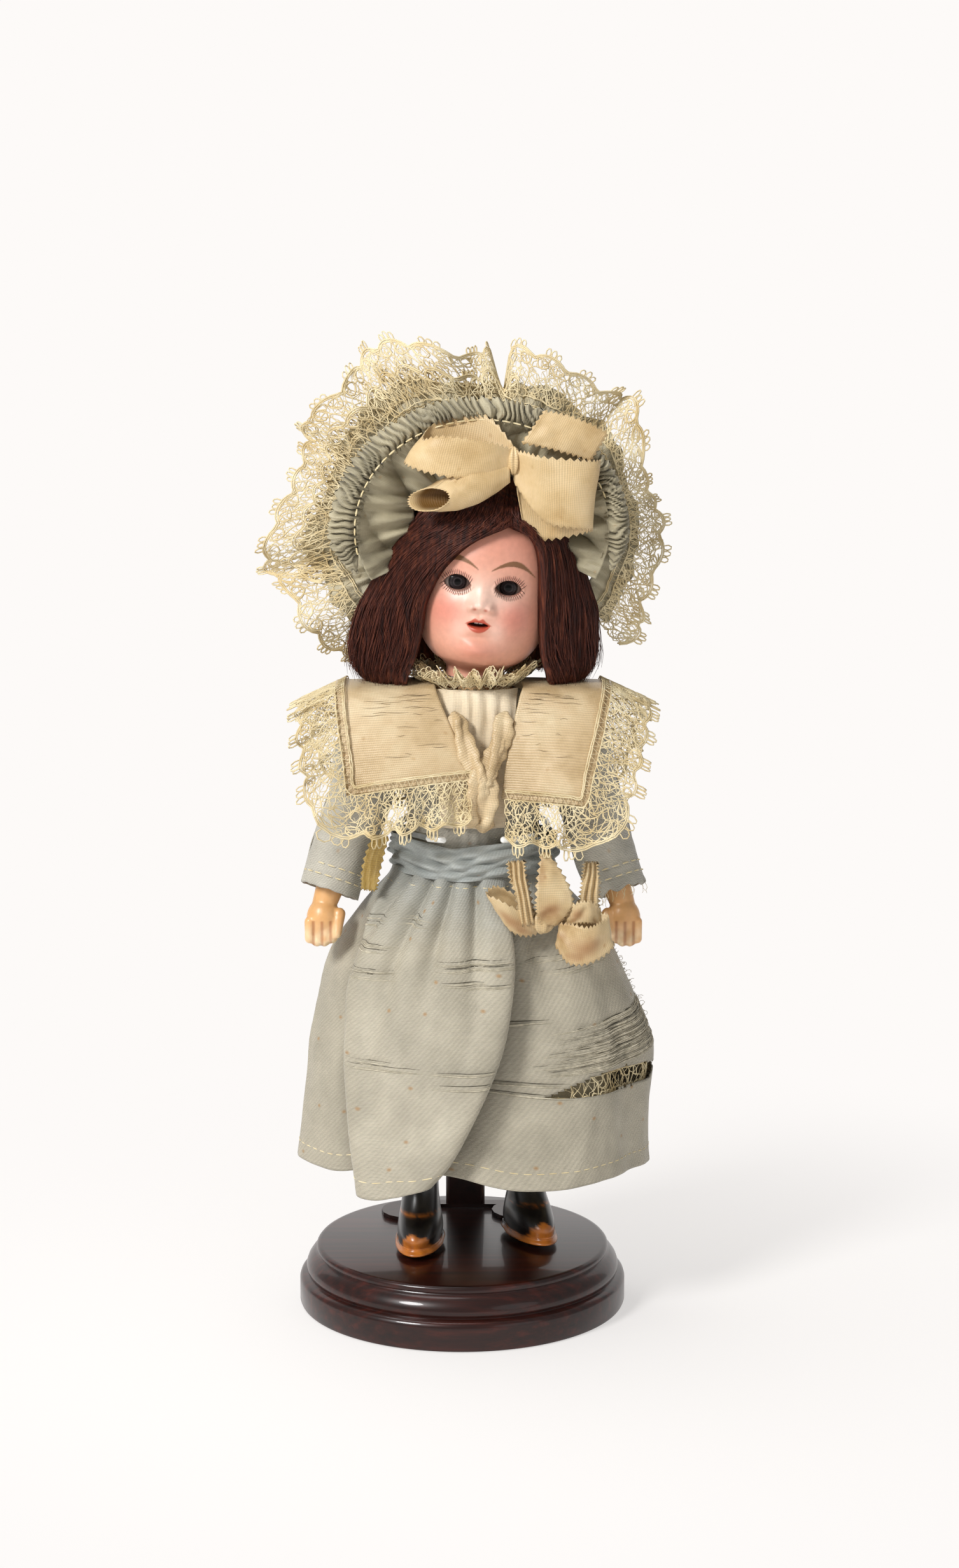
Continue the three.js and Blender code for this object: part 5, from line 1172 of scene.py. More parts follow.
    def stitch_line(s):
        turn = lerp(math.radians(16), math.radians(196), s / sewn_length)
        return hat_point(turn, ROLL_OUT - 2.6, ROLL_Y - 0.8 * ROLL_R)

    sewn = dashes(stitch_line, sewn_length, 2.3, 1.0, 0.32)
    threads("bonnet_stitches", sewn, finish("thread"), "head")


# Body under the dress: height, half width, front, back, mm.
TORSO = [
    (99.5, 17, 12.6, 14), (109, 20.5, 15, 16), (118, 20, 15.5, 15), (131, 18.6, 15.3, 13.5),
    (145.5, 20.5, 15, 13.5), (159.5, 22.5, 13, 13), (166, 21, 11.8, 12), (168.5, 16, 10.8, 10.8),
    (171, 10.2, 9.8, 9.8),
]
SKIRT = [
    (0, 22.75, 18.25, 17.75), (0.05, 24.55, 20.05, 18.95), (0.17, 34.6, 27.5, 21.5),
    (0.29, 41.6, 32, 23.6), (0.45, 46.4, 36.6, 25.5), (0.62, 50.0, 39.4, 26.3), (1, 53.5, 42.5, 27),
]
PETTICOAT = [(0.06, 23.5, 18.6, 17), (0.3, 29, 23, 18.8), (0.5, 36, 26.6, 20.8), (1, 43.4, 32.2, 23.8)]
# A folded edge: degrees past the fold along the cloth, degrees where it lies, mm it stands out.
FOLD = [
    (-11, -11, 0.0), (-7, -6.2, 1.2), (-3.5, -1.4, 1.8), (-1.5, 0.7, 1.3), (0, 1.6, 0.0), (1.2, 1.0, -1.4),
    (2.8, -1.4, -3.0), (5, -4.4, -4.4), (7, -5.2, -5.8), (9, -3.2, -6.8), (13, 3, -7.2), (20, 14, -6.2),
    (32, 30, -3.4), (46, 46, 0.0),
]
# Edges of the lapped panel: (share down, degrees) of the left; degrees of the right at waist and hem.
PANEL_EDGE = [(0.0, 24), (0.13, 19), (0.35, 14), (0.56, 8), (0.76, -1), (0.92, -9), (1.0, -15)]
LAP = (-62, -38)
# Pressed creases: share down, degrees from, degrees to, drop of the line over that run, depth in mm.
CREASES = [
    (0.265, -15, 14, -0.012, 0.5), (0.285, -13, 14, -0.014, 0.7), (0.325, -12, 4, -0.004, 0.3),
    (0.338, -6, 12, -0.01, 0.3), (0.13, -38, -24, 0.012, 0.5), (0.15, -38, -25, 0.01, 0.4),
    (0.145, -63, -46, 0.0, 0.4), (0.166, -62, -46, 0.0, 0.4), (0.225, -57, -37, 0.004, 0.5),
    (0.24, -57, -38, 0.002, 0.4), (0.3, -54, -34, 0.003, 0.5), (0.318, -54, -33, 0.0, 1.0),
    (0.575, -45, -28, 0.004, 0.6), (0.59, -44, -18, 0.004, 0.4), (0.6, -12, 6, 0.0, 0.25),
    (0.64, -11, 7, 0.0, 0.3), (0.284, 33, 58, -0.03, 0.4), (0.32, 38, 66, -0.03, 0.3),
    (0.47, 20, 36, -0.005, 0.3), (0.66, 15, 38, 0.012, 0.4), (0.69, 14, 36, 0.02, 0.5),
] + [(0.5 + 0.019 * k, 44 - 2.6 * k + 7 * (k % 2), 94, -0.063, 0.6) for k in range(8)]
# The long tear at the doll's left: degrees, share down, half its height as a share.
GASH = [
    (29, 0.72, 0.0), (38, 0.699, 0.018), (47, 0.684, 0.032), (65, 0.678, 0.035), (78, 0.68, 0.026),
    (90, 0.682, 0.009), (97, 0.683, 0.0),
]


def crease_depth(degrees, share):
    """How deep the pressed creases are at a point of the skirt, mm."""
    deep = 0.0
    for at, start, stop, drop, depth in CREASES:
        if start - 4 < degrees < stop + 4:
            line = at + drop * (degrees - start) / (stop - start) + 0.004 * rough(degrees * 0.2, at * 40)
            window = ease(degrees, start - 4, start + 3) * ease(-degrees, -stop - 4, -stop + 3)
            deep = max(deep, depth * window * bump(share, line, 0.006))
    return deep


def panel_edges(share):
    """Degrees of the lapped panel's two edges, on the doll's left and right, at a share down the skirt."""
    return read(PANEL_EDGE, share)[0], lerp(*LAP, share)


def skirt_point(degrees, share):
    """Point of the silk skirt, at degrees from the front towards +X and a share down from the waist."""
    soft = min(1.0, 4 * share)
    a, front, back = read(SKIRT, share)
    angle, out = degrees, 0.0
    edge, lap = panel_edges(share)
    left = degrees > (edge + lap) / 2
    panel = ease(degrees - lap, 0, 11) * ease(edge - degrees, 0, 11)
    past = degrees - edge if left else lap - degrees
    if FOLD[0][0] < past < FOLD[-1][0]:
        lies, stands = read(FOLD, past)
        angle = lerp(degrees, edge + lies if left else lap - lies, soft)
        out = stands * soft * (1.0 if left else 1.15)
    out += 1.6 * panel * soft
    out += 4.6 * bump(degrees, -72, 26) * bump(share, 0.1, 0.09)
    out += 2.6 * bump(degrees, -82, 32) * bump(share, 0.3, 0.16)
    for at in (-52, -33, -16, 2, 40, 62):
        out -= 3.6 * bump(degrees, at - 6 * share, 3.8) * bump(share, 0.14, 0.2)
    out -= soft * 1.6 * bump(degrees, 56 + 8 * share, 8) * ease(share, 0.2, 0.6)
    out += 4.6 * bump(degrees, 84, 30) * bump(share, 0.6, 0.2)
    if abs(degrees) > 95:
        out -= soft * 0.54 * (1 - math.cos(math.radians(11 * degrees)))
    out += 0.9 * soft * rough(degrees * 0.045, share * 3.2, 1)
    out += 0.35 * soft * rough(degrees * 0.16, share * 9, 3)
    out -= crease_depth(degrees, share)
    p = oval(math.radians(angle), a + out, front + out, back + out)
    hem = 2.0 * panel - 3.6 * bump(degrees - edge, 12, 13) - 3.2 * bump(lap - degrees, 13, 9)
    hem += 2.4 * bump(degrees - lap, 3, 7) + 0.6 * math.sin(math.radians(degrees) * 5)
    return Vector((p.x, p.y, lerp(WAIST, HEM, share) - share**3 * hem))


def gash(degrees, share):
    """How far inside the tear a point of the skirt lies; negative is whole cloth."""
    line, half = read(GASH, degrees)
    return half * (1 + 0.12 * rough(degrees * 0.6, 3.0)) - abs(share - line)


def laid(start, stop, level, drop, proud, steps=14, sag=0.0):
    """Points of a thread that lies on the skirt between two angles."""
    points = []
    for i in range(steps + 1):
        t = i / steps
        p = skirt_point(lerp(start, stop, t), level + drop * t + sag * math.sin(math.pi * t))
        points.append(p + outward(p) * (proud(t) if callable(proud) else proud))
    return points


def tapered(radius, steps=14):
    return [radius * (0.2 + 0.8 * math.sin(math.pi * i / steps)) for i in range(steps + 1)]


def build_skirt():
    def shape(u, v):
        return skirt_point(lerp(-180, 180, u), 1 - v)

    # Painted shade beside the folded edges of the lapped panel and in the pressed creases, and a darker
    # line along the tear's edges.
    def shade_and_tear_marks(u, v):
        degrees, share = lerp(-180, 180, u), 1 - v
        edge, lap = panel_edges(share)
        # Painted shade in the recess just beyond each folded edge.
        tucked = max(1.15 * bump(degrees - edge, 11, 5), 0.8 * bump(lap - degrees, 17, 5.5))
        tucked *= ease(share, 0.05, 0.25)
        torn = bump(gash(degrees, share), 0, 0.006) * ease(degrees, 30, 42) * ease(100 - degrees, 0, 5)
        return 0.1 * crease_depth(degrees, share) + 0.3 * torn + 0.5 * tucked

    bm, size = wear_and_shade_at(grid(370, 124, shape), shade_and_tear_marks)
    uv = bm.loops.layers.uv["Cloth"]
    gone = []
    for face in bm.faces:
        at = [sum(loop[uv].uv[k] for loop in face.loops) / 4 / size[k] for k in (0, 1)]
        degrees = lerp(-180, 180, at[0])
        if 30 < degrees < 96 and gash(degrees, 1 - at[1]) > 0:
            gone.append(face)
    bmesh.ops.delete(bm, geom=gone, context="FACES")
    bmesh.ops.remove_doubles(bm, verts=bm.verts, dist=1e-3)

    def under(u, v):
        share = lerp(1.0, 0.06, v)
        a, front, back = read(PETTICOAT, share)
        turn = u * math.tau - math.pi
        p = oval(turn, a, front, back)
        gather = 1.0 + 0.02 * math.sin(31 * turn + 2 * math.sin(5 * turn)) * min(1, 3 * share)
        gather += 0.07 * bump(math.degrees(turn), -27, 13) * share
        return Vector((p.x * gather, p.y * gather, lerp(112, 31, share)))

    net_length = 250.0

    def net(s, w):
        p = under(s / net_length, 0.0)
        return Vector((p.x * 1.012, p.y * 1.012, p.z + 13 - w))

    def showing(s, w):
        degrees = lerp(28, 98, s / 60)
        p = skirt_point(degrees, read(GASH, degrees)[0] + (w - 5) / (WAIST - HEM))
        return p - outward(p) * (1.7 + 0.4 * rough(s, w))

    net_lines = lace(net_length, 13.0, net, 8, 2.6, 11.0, 1.4)
    net_lines += lace(60.0, 10.0, showing, 9, 3.1, 6.0, 1.2)
    trim = threads("petticoat_lace", net_lines, finish("lace"), "torso")
    cloth(
        "petticoat_lawn", grid(260, 40, under, ring=True), finish("lawn"), "torso",
        ["petticoat"],
    )

    lines = []
    for level, start, stop in ((4.8, -172, 172), (87.5, -80, 80)):
        span = stop - start
        length = span * (0.82 if level < 10 else 0.47)

        def seam(s, level=level, start=start, span=span, length=length):
            p = skirt_point(start + span * s / length, 1 - level / (WAIST - HEM))
            return p + outward(p) * 0.25

        lines += dashes(seam, length, 1.8, 1.2, 0.16)
    r = random.Random(41)
    splits, slit_shadows = [], []
    for at, start, stop, drop, depth in CREASES:
        # Each crease gets a dark thread along it, a painted shadow of the slit there.
        slit_shadows.append((laid(start, stop, at, drop, 0.36), tapered(0.07 + 0.13 * depth)))
        for _ in range(3):
            level = at + r.uniform(0.004, 0.013)
            loose = r.uniform(0.05, 0.25)
            ends = (start + r.uniform(-3, 5), stop + r.uniform(-5, 3))
            run = laid(*ends, level, drop, 0.3 + loose, sag=r.uniform(-0.002, 0.005))
            splits.append((run, tapered(r.uniform(0.08, 0.14))))
    for _ in range(64):
        level, loose = r.uniform(0.5, 0.65), r.uniform(0.1, 0.6)
        start, stop = r.uniform(34, 58) - 60 * (level - 0.5), r.uniform(84, 97)

        def proud(t, loose=loose):
            return 0.25 + loose * math.sin(math.pi * t)

        run = laid(start, stop, level, -0.063, proud, sag=r.uniform(-0.003, 0.008))
        splits.append((run, tapered(r.uniform(0.08, 0.15))))
    for _ in range(30):
        p = skirt_point(r.uniform(83, 97), r.uniform(0.27, 0.5))
        size_mm, start = r.uniform(0.4, 1.2), r.uniform(0, 6)
        points = []
        for i in range(10):
            turn = start + 0.7 * i
            curl = outward(p) * (0.2 + size_mm * (1 + math.cos(turn)))
            points.append(p + curl + Vector((0, 0, size_mm * math.sin(turn) - 0.25 * i)))
        splits.append((points, 0.07))
    loose_ends = threads("skirt_splits", splits, finish("split"), "torso")
    cuts = threads("skirt_slit_shadows", slit_shadows, finish("slit_shadow"), "torso")
    seams = threads("skirt_threads", lines, finish("thread"), "torso")
    cloth(
        "skirt_silk", (bm, size), finish("skirt"), "torso", ["skirt"],
        thickness=0.45,
    )


def build_bodice():
    def bodice(u, v):
        z = lerp(112, 170.5, v)
        a, front, back = read(TORSO, z)
        out = 0.75 + 0.25 * math.sin(40 * u * math.tau)
        return oval(u * math.tau - math.pi, a + out, front + out, back + out) + Vector((0, 0, z))

    cloth(
        "bodice_silk", grid(160, 50, bodice, ring=True), finish("sleeve"), "torso",
        ["bodice"], thickness=0.3,
    )

    def sash(u, v):
        turn = u * math.tau - math.pi
        dip = 1.6 * bump(math.degrees(turn), -14, 26)
        z = lerp(116.2, 127.0, v) - dip * (0.6 + 0.4 * v)
        edge = 1.6 * (1 - bump(v, 0.5, 0.42)) ** 2
        slant = 1.5 * math.sin(turn * 2.4 + 0.5)
        folds = 1.1 * math.sin(15 * v + 3.6 * slant)
        folds += 0.7 * math.sin(24 * v - 4.2 * math.sin(3 * turn) + 1)
        out = 4.7 - edge + 0.75 * folds * (1 - 0.4 * abs(2 * v - 1)) + 0.4 * rough(turn * 4, v * 3, 2)
        return oval(turn, 20 + out, 15.5 + out, 15 + out) + Vector((0, 0, z))

    built = grid(260, 44, sash, ring=True)
    cloth("sash_silk", built, finish("sash"), "torso", ["sash"], thickness=0.5)


def sleeve_frame(v, side):
    """Middle, side axis and depth axis of the sleeve at a share from the shoulder seam to the cuff."""
    path = [Vector((24.4, 0, 157.6)), Vector((28.6, 0.1, 156.6)), Vector((31.2, 0.3, 150.5))]
    path += [arm_centre(d) for d in (14, 20, 27, 34, 42, 50)]
    here = along(path, v)
    ahead = (along(path, min(1, v + 0.02)) - along(path, max(0, v - 0.02))).normalized()
    depth = FRONT - ahead * ahead.dot(FRONT)
    depth.normalize()
    across = depth.cross(ahead)
    flip = Vector((side, 1, 1))
    return here * flip, across * flip, depth * flip


SLEEVE = [(0, 8.8), (0.12, 9.9), (0.25, 10.3), (0.45, 9.6), (0.7, 9.5), (0.9, 8.9), (1.0, 8.7)]


def build_sleeves():
    for name, side in SIDES.items():
        def shape(u, v, side=side):
            t = 1 - v
            here, across, depth = sleeve_frame(t, side)
            turn = u * math.tau
            r = read(SLEEVE, t)[0]
            crease = 0.5 * rough(turn * 0.9 + 3 * side, t * 9, 4)
            crease += 0.35 * math.sin(11 * t + 2.2 * math.sin(turn + side)) * ease(t, 0.2, 0.4)
            ragged = 0.9 * rough(turn * 3, 7 * side, 1) * ease(t, 0.96, 1.0) * (1.6 if side > 0 else 0.5)
            p = here + across * math.cos(turn) * (r + crease) + depth * math.sin(turn) * (r + 0.5 + crease)
            p.z += ragged
            return p

        lines = []
        for back in (0.055, 0.1):
            here, across, depth = sleeve_frame(1 - back, side)

            def ring(s, here=here, across=across, depth=depth):
                turn = s / 9.6
                return here + across * math.cos(turn) * 9.25 + depth * math.sin(turn) * 9.75

            lines += dashes(ring, math.tau * 9.6, 2.2, 1.3, 0.2)
        r = random.Random(50 + side)
        if side > 0:
            for _ in range(26):
                points = [shape(r.uniform(0, math.tau) / math.tau, 0.0)]
                for _ in range(4):
                    step = Vector((r.uniform(-0.5, 0.5), r.uniform(-0.5, 0.5), r.uniform(-1.1, -0.2)))
                    points.append(points[-1] + step)
                lines.append((points, 0.07))
        sewn = threads("sleeve_threads_" + name, lines, finish("thread"), "arm_" + name)
        built = grid(90, 76, shape, ring=True, flip=side < 0)
        cloth(
            "sleeve_silk_" + name, built, finish("sleeve"), "arm_" + name,
            ["sleeve_" + name],
        )


# Collar, from its front hem over the shoulder to its back hem: x, y and z, each of inner and outer edge.
COLLAR_OVER = [
    (14.6, 41, -8.4, -8.4, 172.6, 171.6), (12, 41, 6, 7, 172.6, 171.6), (9, 40, 14, 14.6, 169.2, 168.2),
    (2, 38, 16.4, 17.4, 156, 155), (1, 36, 17, 19, 146, 146),
]
COLLAR = {
    -1: [
        (-1.2, 37.2, -23.0, -24.8, 147.0, 142.2), (2.6, 38.4, -21.2, -21.6, 153.6, 151.5),
        (6.6, 39.8, -18.2, -18.4, 161.8, 160.5), (10.2, 40.8, -13.4, -14, 169.6, 168.6),
    ] + [(11.4, *COLLAR_OVER[0][1:])] + COLLAR_OVER[1:],
    1: [
        (8.2, 33.4, -22.2, -25.6, 140.8, 139.0), (9.6, 35.8, -20.2, -22.2, 150.6, 149.4),
        (11.6, 38.6, -17.6, -18.4, 161.5, 160.5), (13.6, 40.4, -13.4, -14, 169.6, 168.6),
    ] + COLLAR_OVER,
}


def collar_point(side, t, v):
    """Point of a collar: t from its inner to its outer edge, v from its front hem over to its back hem."""
    xi, xo, yi, yo, zi, zo = along(COLLAR[side], v)
    puff = 1.1 * math.sin(math.pi * clamp(t)) * bump(v, 0.2, 0.35)
    ripple = 0.35 * rough(t * 2.2 + side, v * 9, 6) + 0.25 * rough(t * 6, v * 22, 8)
    y = lerp(yi, yo, t) + (puff + ripple) * (-0.8 if v < 0.5 else 0.8)
    return Vector((side * lerp(xi, xo, t), y, lerp(zi, zo, t) + 0.4 * puff + 0.2 * ripple))


def collar_border(side):
    """Points and ways of the lace: along the front hem, up, over the shoulder, along the back hem."""
    line = [(collar_point(side, t, 0.0), Vector((0, -0.27, -1))) for t in (0.04, 0.3, 0.55, 0.8)]
    line.append((collar_point(side, 0.95, 0.0), Vector((side * 0.3, -0.3, -0.9))))
    line.append((collar_point(side, 1.0, 0.03), Vector((side * 0.75, -0.3, -0.62))))
    for v in (0.1, 0.2, 0.32, 0.45, 0.58, 0.7, 0.82):
        line.append((collar_point(side, 1.0, v), Vector((side * 0.9, lerp(-0.15, 0.2, v), -0.42))))
    line.append((collar_point(side, 1.0, 0.96), Vector((side * 0.7, 0.35, -0.62))))
    for t in (0.9, 0.6, 0.3, 0.05):
        line.append((collar_point(side, t, 1.0), Vector((0, 0.2, -1))))
    return [(p, d.normalized()) for p, d in line]


def build_collar():
    for name, side in SIDES.items():
        border = collar_border(side)
        spots = [p for p, d in border]
        reach = [0.0]
        for a, b in zip(spots, spots[1:]):
            reach.append(reach[-1] + (b - a).length)
        rows = [(s, *p, *d) for s, (p, d) in zip(reach, border)]
        length = reach[-1]

        def edge(s, w, rows=rows, side=side):
            x, y, z, dx, dy, dz = read(rows, s)
            way = Vector((dx, dy, dz)).normalized()
            lie = FRONT.cross(way)
            wave = w / 14 * (1.5 * math.sin(s * 0.62 + side) + 0.7 * math.sin(s * 1.45))
            p = Vector((x, y, z)) + way * (w - 3.0)
            return p + Vector((0, -1.4 + wave, -0.02 * w)) + lie * 0.1 * wave

        pattern = lace(length, 15.0, edge, 60 + side, 1.8, 8.0, 2.6, stout=1.1)
        solid = "collar_lace_" + name
        trim = threads(solid + "_net", pattern, finish("lace"), "torso", [solid])

        r = random.Random(90 + side)
        splits = []
        for k in range(30):
            t, v = 0.04 + 0.5 * r.random() ** 1.4, r.uniform(0.3, 0.41) if k < 23 else r.uniform(0.12, 0.3)
            long = r.uniform(0.06, 0.26)
            shares = [(t + long * i / 5, v + 0.002 * math.sin(i + k)) for i in range(6)]
            run = [collar_point(side, *share) + Vector((0, -0.3, 0.1)) for share in shares]
            splits.append((run, [0.015, 0.045, 0.06, 0.06, 0.045, 0.015]))
        cuts = threads("collar_splits_" + name, splits, finish("weft"), "torso")
        built = grid(40, 120, lambda u, v: collar_point(side, u, v), flip=side < 0)
        cloth(
            "collar_satin_" + name, built, finish("satin"), "torso",
            ["collar_" + name], thickness=0.5,
        )

    def vest(u, v):
        z = lerp(131, 171.6, v)
        a, front = read(TORSO, z)[:2]
        x = lerp(-12.5, 12.5, u) * lerp(0.75, 1.05, v)
        y = -(front + 2.4) * math.sqrt(max(0.05, 1 - (x / (max(a, 13) + 3)) ** 2))
        fold = 0.34 * math.sin(x * 1.5 + 1.4 * math.sin(z * 0.14) + 2.2 * rough(x * 0.16, z * 0.09))
        return Vector((x, y - fold + 0.3 * rough(x * 0.6, z * 0.25), z))

    built = grid(120, 30, vest)
    cloth("vest_lawn", built, finish("vest"), "torso", ["vest"], thickness=0.3)

    def strand(points, width, twist, lobes):
        def shape(u, v):
            here = along(points, v)
            ahead = (along(points, min(1, v + 0.03)) - along(points, max(0, v - 0.03))).normalized()
            across = ahead.cross(FRONT).normalized()
            turn = u * math.tau
            r = lerp(width[0], width[1], v) * (1 + 0.34 * math.cos(lobes * turn + 1.6 * twist * v))
            r *= 1 + 0.07 * math.sin(60 * v + 2 * turn) + 0.16 * rough(turn, v * 9, twist)
            end = min(1.0, 14 * min(v, 1 - v) + 0.2)
            return here + (across * math.cos(turn) * 1.25 + FRONT * math.sin(turn) * 0.8) * r * end

        return grid(36, 110, shape, ring=True)[0]

    runs = [
        ([
            (-5.8, -16.5, 166), (-3.6, -19.6, 159), (-0.2, -22.4, 152), (3.4, -24.4, 146.5),
            (3.8, -23.4, 139), (2.6, -21.4, 130.5),
        ], (1.8, 2.4), 9, 3),
        ([
            (9.8, -16.2, 166), (8.2, -19.0, 159), (5.6, -21.8, 152), (2.2, -24.6, 146.6),
            (0.0, -23.6, 139.5), (-0.8, -21.6, 132),
        ], (1.9, 2.5), -8, 3),
        ([
            (8.0, -18.6, 160), (6.6, -21.4, 153.5), (4.6, -24.4, 148.5), (2.0, -25.2, 147),
            (0.2, -24.2, 149.6),
        ], (1.3, 1.3), 8, 2),
    ]
    bm = bmesh.new()
    for run in runs:
        part = to_mesh("tie_run", strand(*run))
        bm.from_mesh(part)
        bpy.data.meshes.remove(part)
    bmesh.ops.recalc_face_normals(bm, faces=bm.faces)
    piece("tie_silk", bm, finish("satin"), "torso", ["tie"])
    length = 160.0

    def neck(s, w):
        turn = s / length * math.tau - math.pi
        lean = w / 7.5
        wave = math.sin(19 * turn + 1.2 * math.sin(5 * turn))
        r = 11.0 + 6.1 * lean + 1.3 * lean * wave
        z = 171.1 + 4.8 * lean + 1.3 * lean * math.cos(23 * turn) + 0.4 * math.sin(31 * turn)
        return Vector((r * math.sin(turn), -r * math.cos(turn) * 0.98, z))

    def raised(s, w):
        return neck(s, w * 0.9) + Vector((0, 0, 1.4))

    frill = lace(length, 7.5, neck, 77, 1.5, 5.0, 1.9, stout=0.85)
    frill += lace(length, 6.0, raised, 78, 1.8, 6.0, 1.4, header=False)
    threads("neck_frill_lace", frill, finish("lace"), "torso", ["neck_frill"])


def ribbon(guides, length, crimp=0.0, cut_ends=False, across=12, crumple=0.3):
    """A pinked ribbon about length mm long; its guides are (middle x, y, z, half width x, y, z)."""
    rows = max(14, int(length / 0.95))
    rows += rows % 2
    table = [(i, *g) for i, g in enumerate(guides)]
    last = len(guides) - 1

    def shape(u, v):
        x, y, z, sx, sy, sz = read(table, v * last)
        x2, y2, z2 = read(table, min(last, v * last + 0.05))[:3]
        side = Vector((sx, sy, sz))
        ahead = Vector((x2 - x, y2 - y, z2 - z))
        if ahead.length < 1e-6:
            x0, y0, z0 = read(table, v * last - 0.05)[:3]
            ahead = Vector((x - x0, y - y0, z - z0))
        face = side.cross(ahead).normalized() if side.cross(ahead).length > 1e-9 else FRONT
        t = 2 * u - 1
        lift = 0.35 * (1 - t * t) + crimp * math.sin(9.5 * t + 1.4 * math.sin(5 * v))
        p = Vector((x, y, z)) + side * t + face * (lift + crumple * rough(u * 2.5, v * 6, x * 0.1))
        if u < 1e-6 or u > 1 - 1e-6:
            p += side.normalized() * t * (0.55 if round(v * rows) % 2 else -0.4)
        if cut_ends and (v < 1e-6 or v > 1 - 1e-6):
            p += ahead.normalized() * (0.45 if round(u * across) % 2 else -0.2)
        return p

    return grid(across, rows, shape)


def moved(guides, to):
    return [(x + to[0], y + to[1], z + to[2], sx, sy, sz) for x, y, z, sx, sy, sz in guides]


HAT_KNOT = (11.6, -19.5, 240.0)
HAT_BOW = {
    "left": (60, 0.45, False, [
        (0, -0.5, 0.6, 0, 0, 2.4), (-6, -3.2, 0.6, 0.6, 0, 4.4), (-14, -4.6, 0.9, 1.2, 0, 5.6),
        (-23, -4.0, 2.0, 1.6, 0, 5.2), (-28.5, -0.6, 2.4, 2.2, 0, 3.6), (-27, 3.0, 5.0, 3.2, 0.6, 4.6),
        (-18, 4.6, 7.2, 2.0, 0.8, 6.2), (-8, 3.4, 5.6, 1.0, 0.4, 6.4), (0, 1.0, 1.2, 0, 0, 3.0),
    ]),
    "right": (62, 0.45, False, [
        (0, -0.5, -1.6, 0, 0, 4.2), (4, -3.0, -5, -0.6, 0, 7.5), (9, -4.0, -8.2, -0.5, 0, 9.4),
        (17, -3.6, -9.4, 0.5, 0, 9.8), (22.5, -1.5, -10.0, 1.0, 0, 9.8), (24, 1.4, -10.4, 1.0, 0, 9.8),
        (20, 3.0, -12, 0.5, 0, 9.6), (11, 3.2, -14, 0, 0, 9.2), (3, 2.4, -14.0, -1.5, 0, 8),
        (0.5, 1.0, -6, -1, 0, 5),
    ]),
    "tail": (22, 0.4, True, [
        (5.5, 2.4, 9.5, 3.2, 0, 4.6), (12, 1.6, 8.3, 2.6, 0, 4.8), (19, 1.8, 6.2, 2.4, 0, 4.6),
        (25, 3.0, 3.6, 2.5, 0, 4.0),
    ]),
}
# Rolled lower loop: middle, then its two half axes, from the knot to its open left end.
HAT_TUBE = [
    (-1.0, -0.5, -4.0, 0, 0, 2.2, 0, -1.6, 0), (-7, -1.8, -6.4, 0.4, 0, 4.2, 0.6, -3.0, 0),
    (-14, -2.6, -8.4, 0.8, 0, 5.4, 1.6, -4.0, 0), (-20, -3.2, -9.7, 1.2, 0, 4.6, 3.6, -4.2, 0),
    (-24.5, -4.4, -10.9, 1.6, 0, 3.3, 5.8, -3.4, 0),
]


def knot_shape(centre, size, seed):
    """A gathered ribbon knot: a round lump with soft vertical folds."""
    def shape(u, v):
        turn, tilt = u * math.tau, (v - 0.5) * math.pi
        d = Vector((math.cos(turn) * math.cos(tilt), math.sin(turn) * math.cos(tilt), math.sin(tilt)))
        fold = 1 + 0.1 * math.sin(7 * turn + seed) * math.cos(tilt)
        fold += 0.12 * rough(math.cos(turn) * 2, math.sin(turn) * 2, v * 3 + seed)
        return Vector(centre) + d * Vector(size) * fold

    return closed(grid(48, 28, shape, ring=True))


def pressed(obj):
    """Gives a ribbon its own copy of its mesh."""
    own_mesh(obj)


def build_hat_bow():
    taffeta = finish("ribbon")
    for name, (length, crumple, cut, guides) in HAT_BOW.items():
        built = ribbon(moved(guides, HAT_KNOT), length, 0.0, cut, 12, crumple)
        cloth(
            "hat_ribbon_" + name, built, taffeta, "head",
            ["hat_bow_" + name], thickness=0.3,
        )
    table = [(i, *row) for i, row in enumerate(HAT_TUBE)]

    def tube(u, v):
        row = read(table, v * (len(table) - 1))
        turn = u * math.tau
        p = Vector(HAT_KNOT) + Vector(row[:3])
        p = p + Vector(row[3:6]) * math.cos(turn) + Vector(row[6:]) * math.sin(turn)
        p += Vector((0, 0, 0.5 * rough(u * 6, v * 5, 3)))
        if v > 1 - 1e-6:
            p.x += 0.4 if round(u * 60) % 2 else -0.3
        return p

    # Painted shade on one side of the rolled loop's wall, seen through its open end and fading out at that
    # end.
    def inside(u, v):
        return 0.95 * ease(-math.sin(u * math.tau), -0.1, 0.6) * ease(0.99 - v, 0.0, 0.14)

    cloth(
        "hat_ribbon_lower", wear_and_shade_at(grid(60, 40, tube, ring=True), inside), taffeta, "head",
        ["hat_bow_lower"], thickness=0.3,
    )
    knot = knot_shape(HAT_KNOT, (2.0, 2.6, 4.0), 2)
    piece("hat_ribbon_knot", knot, taffeta, "head", ["hat_bow_knot"])


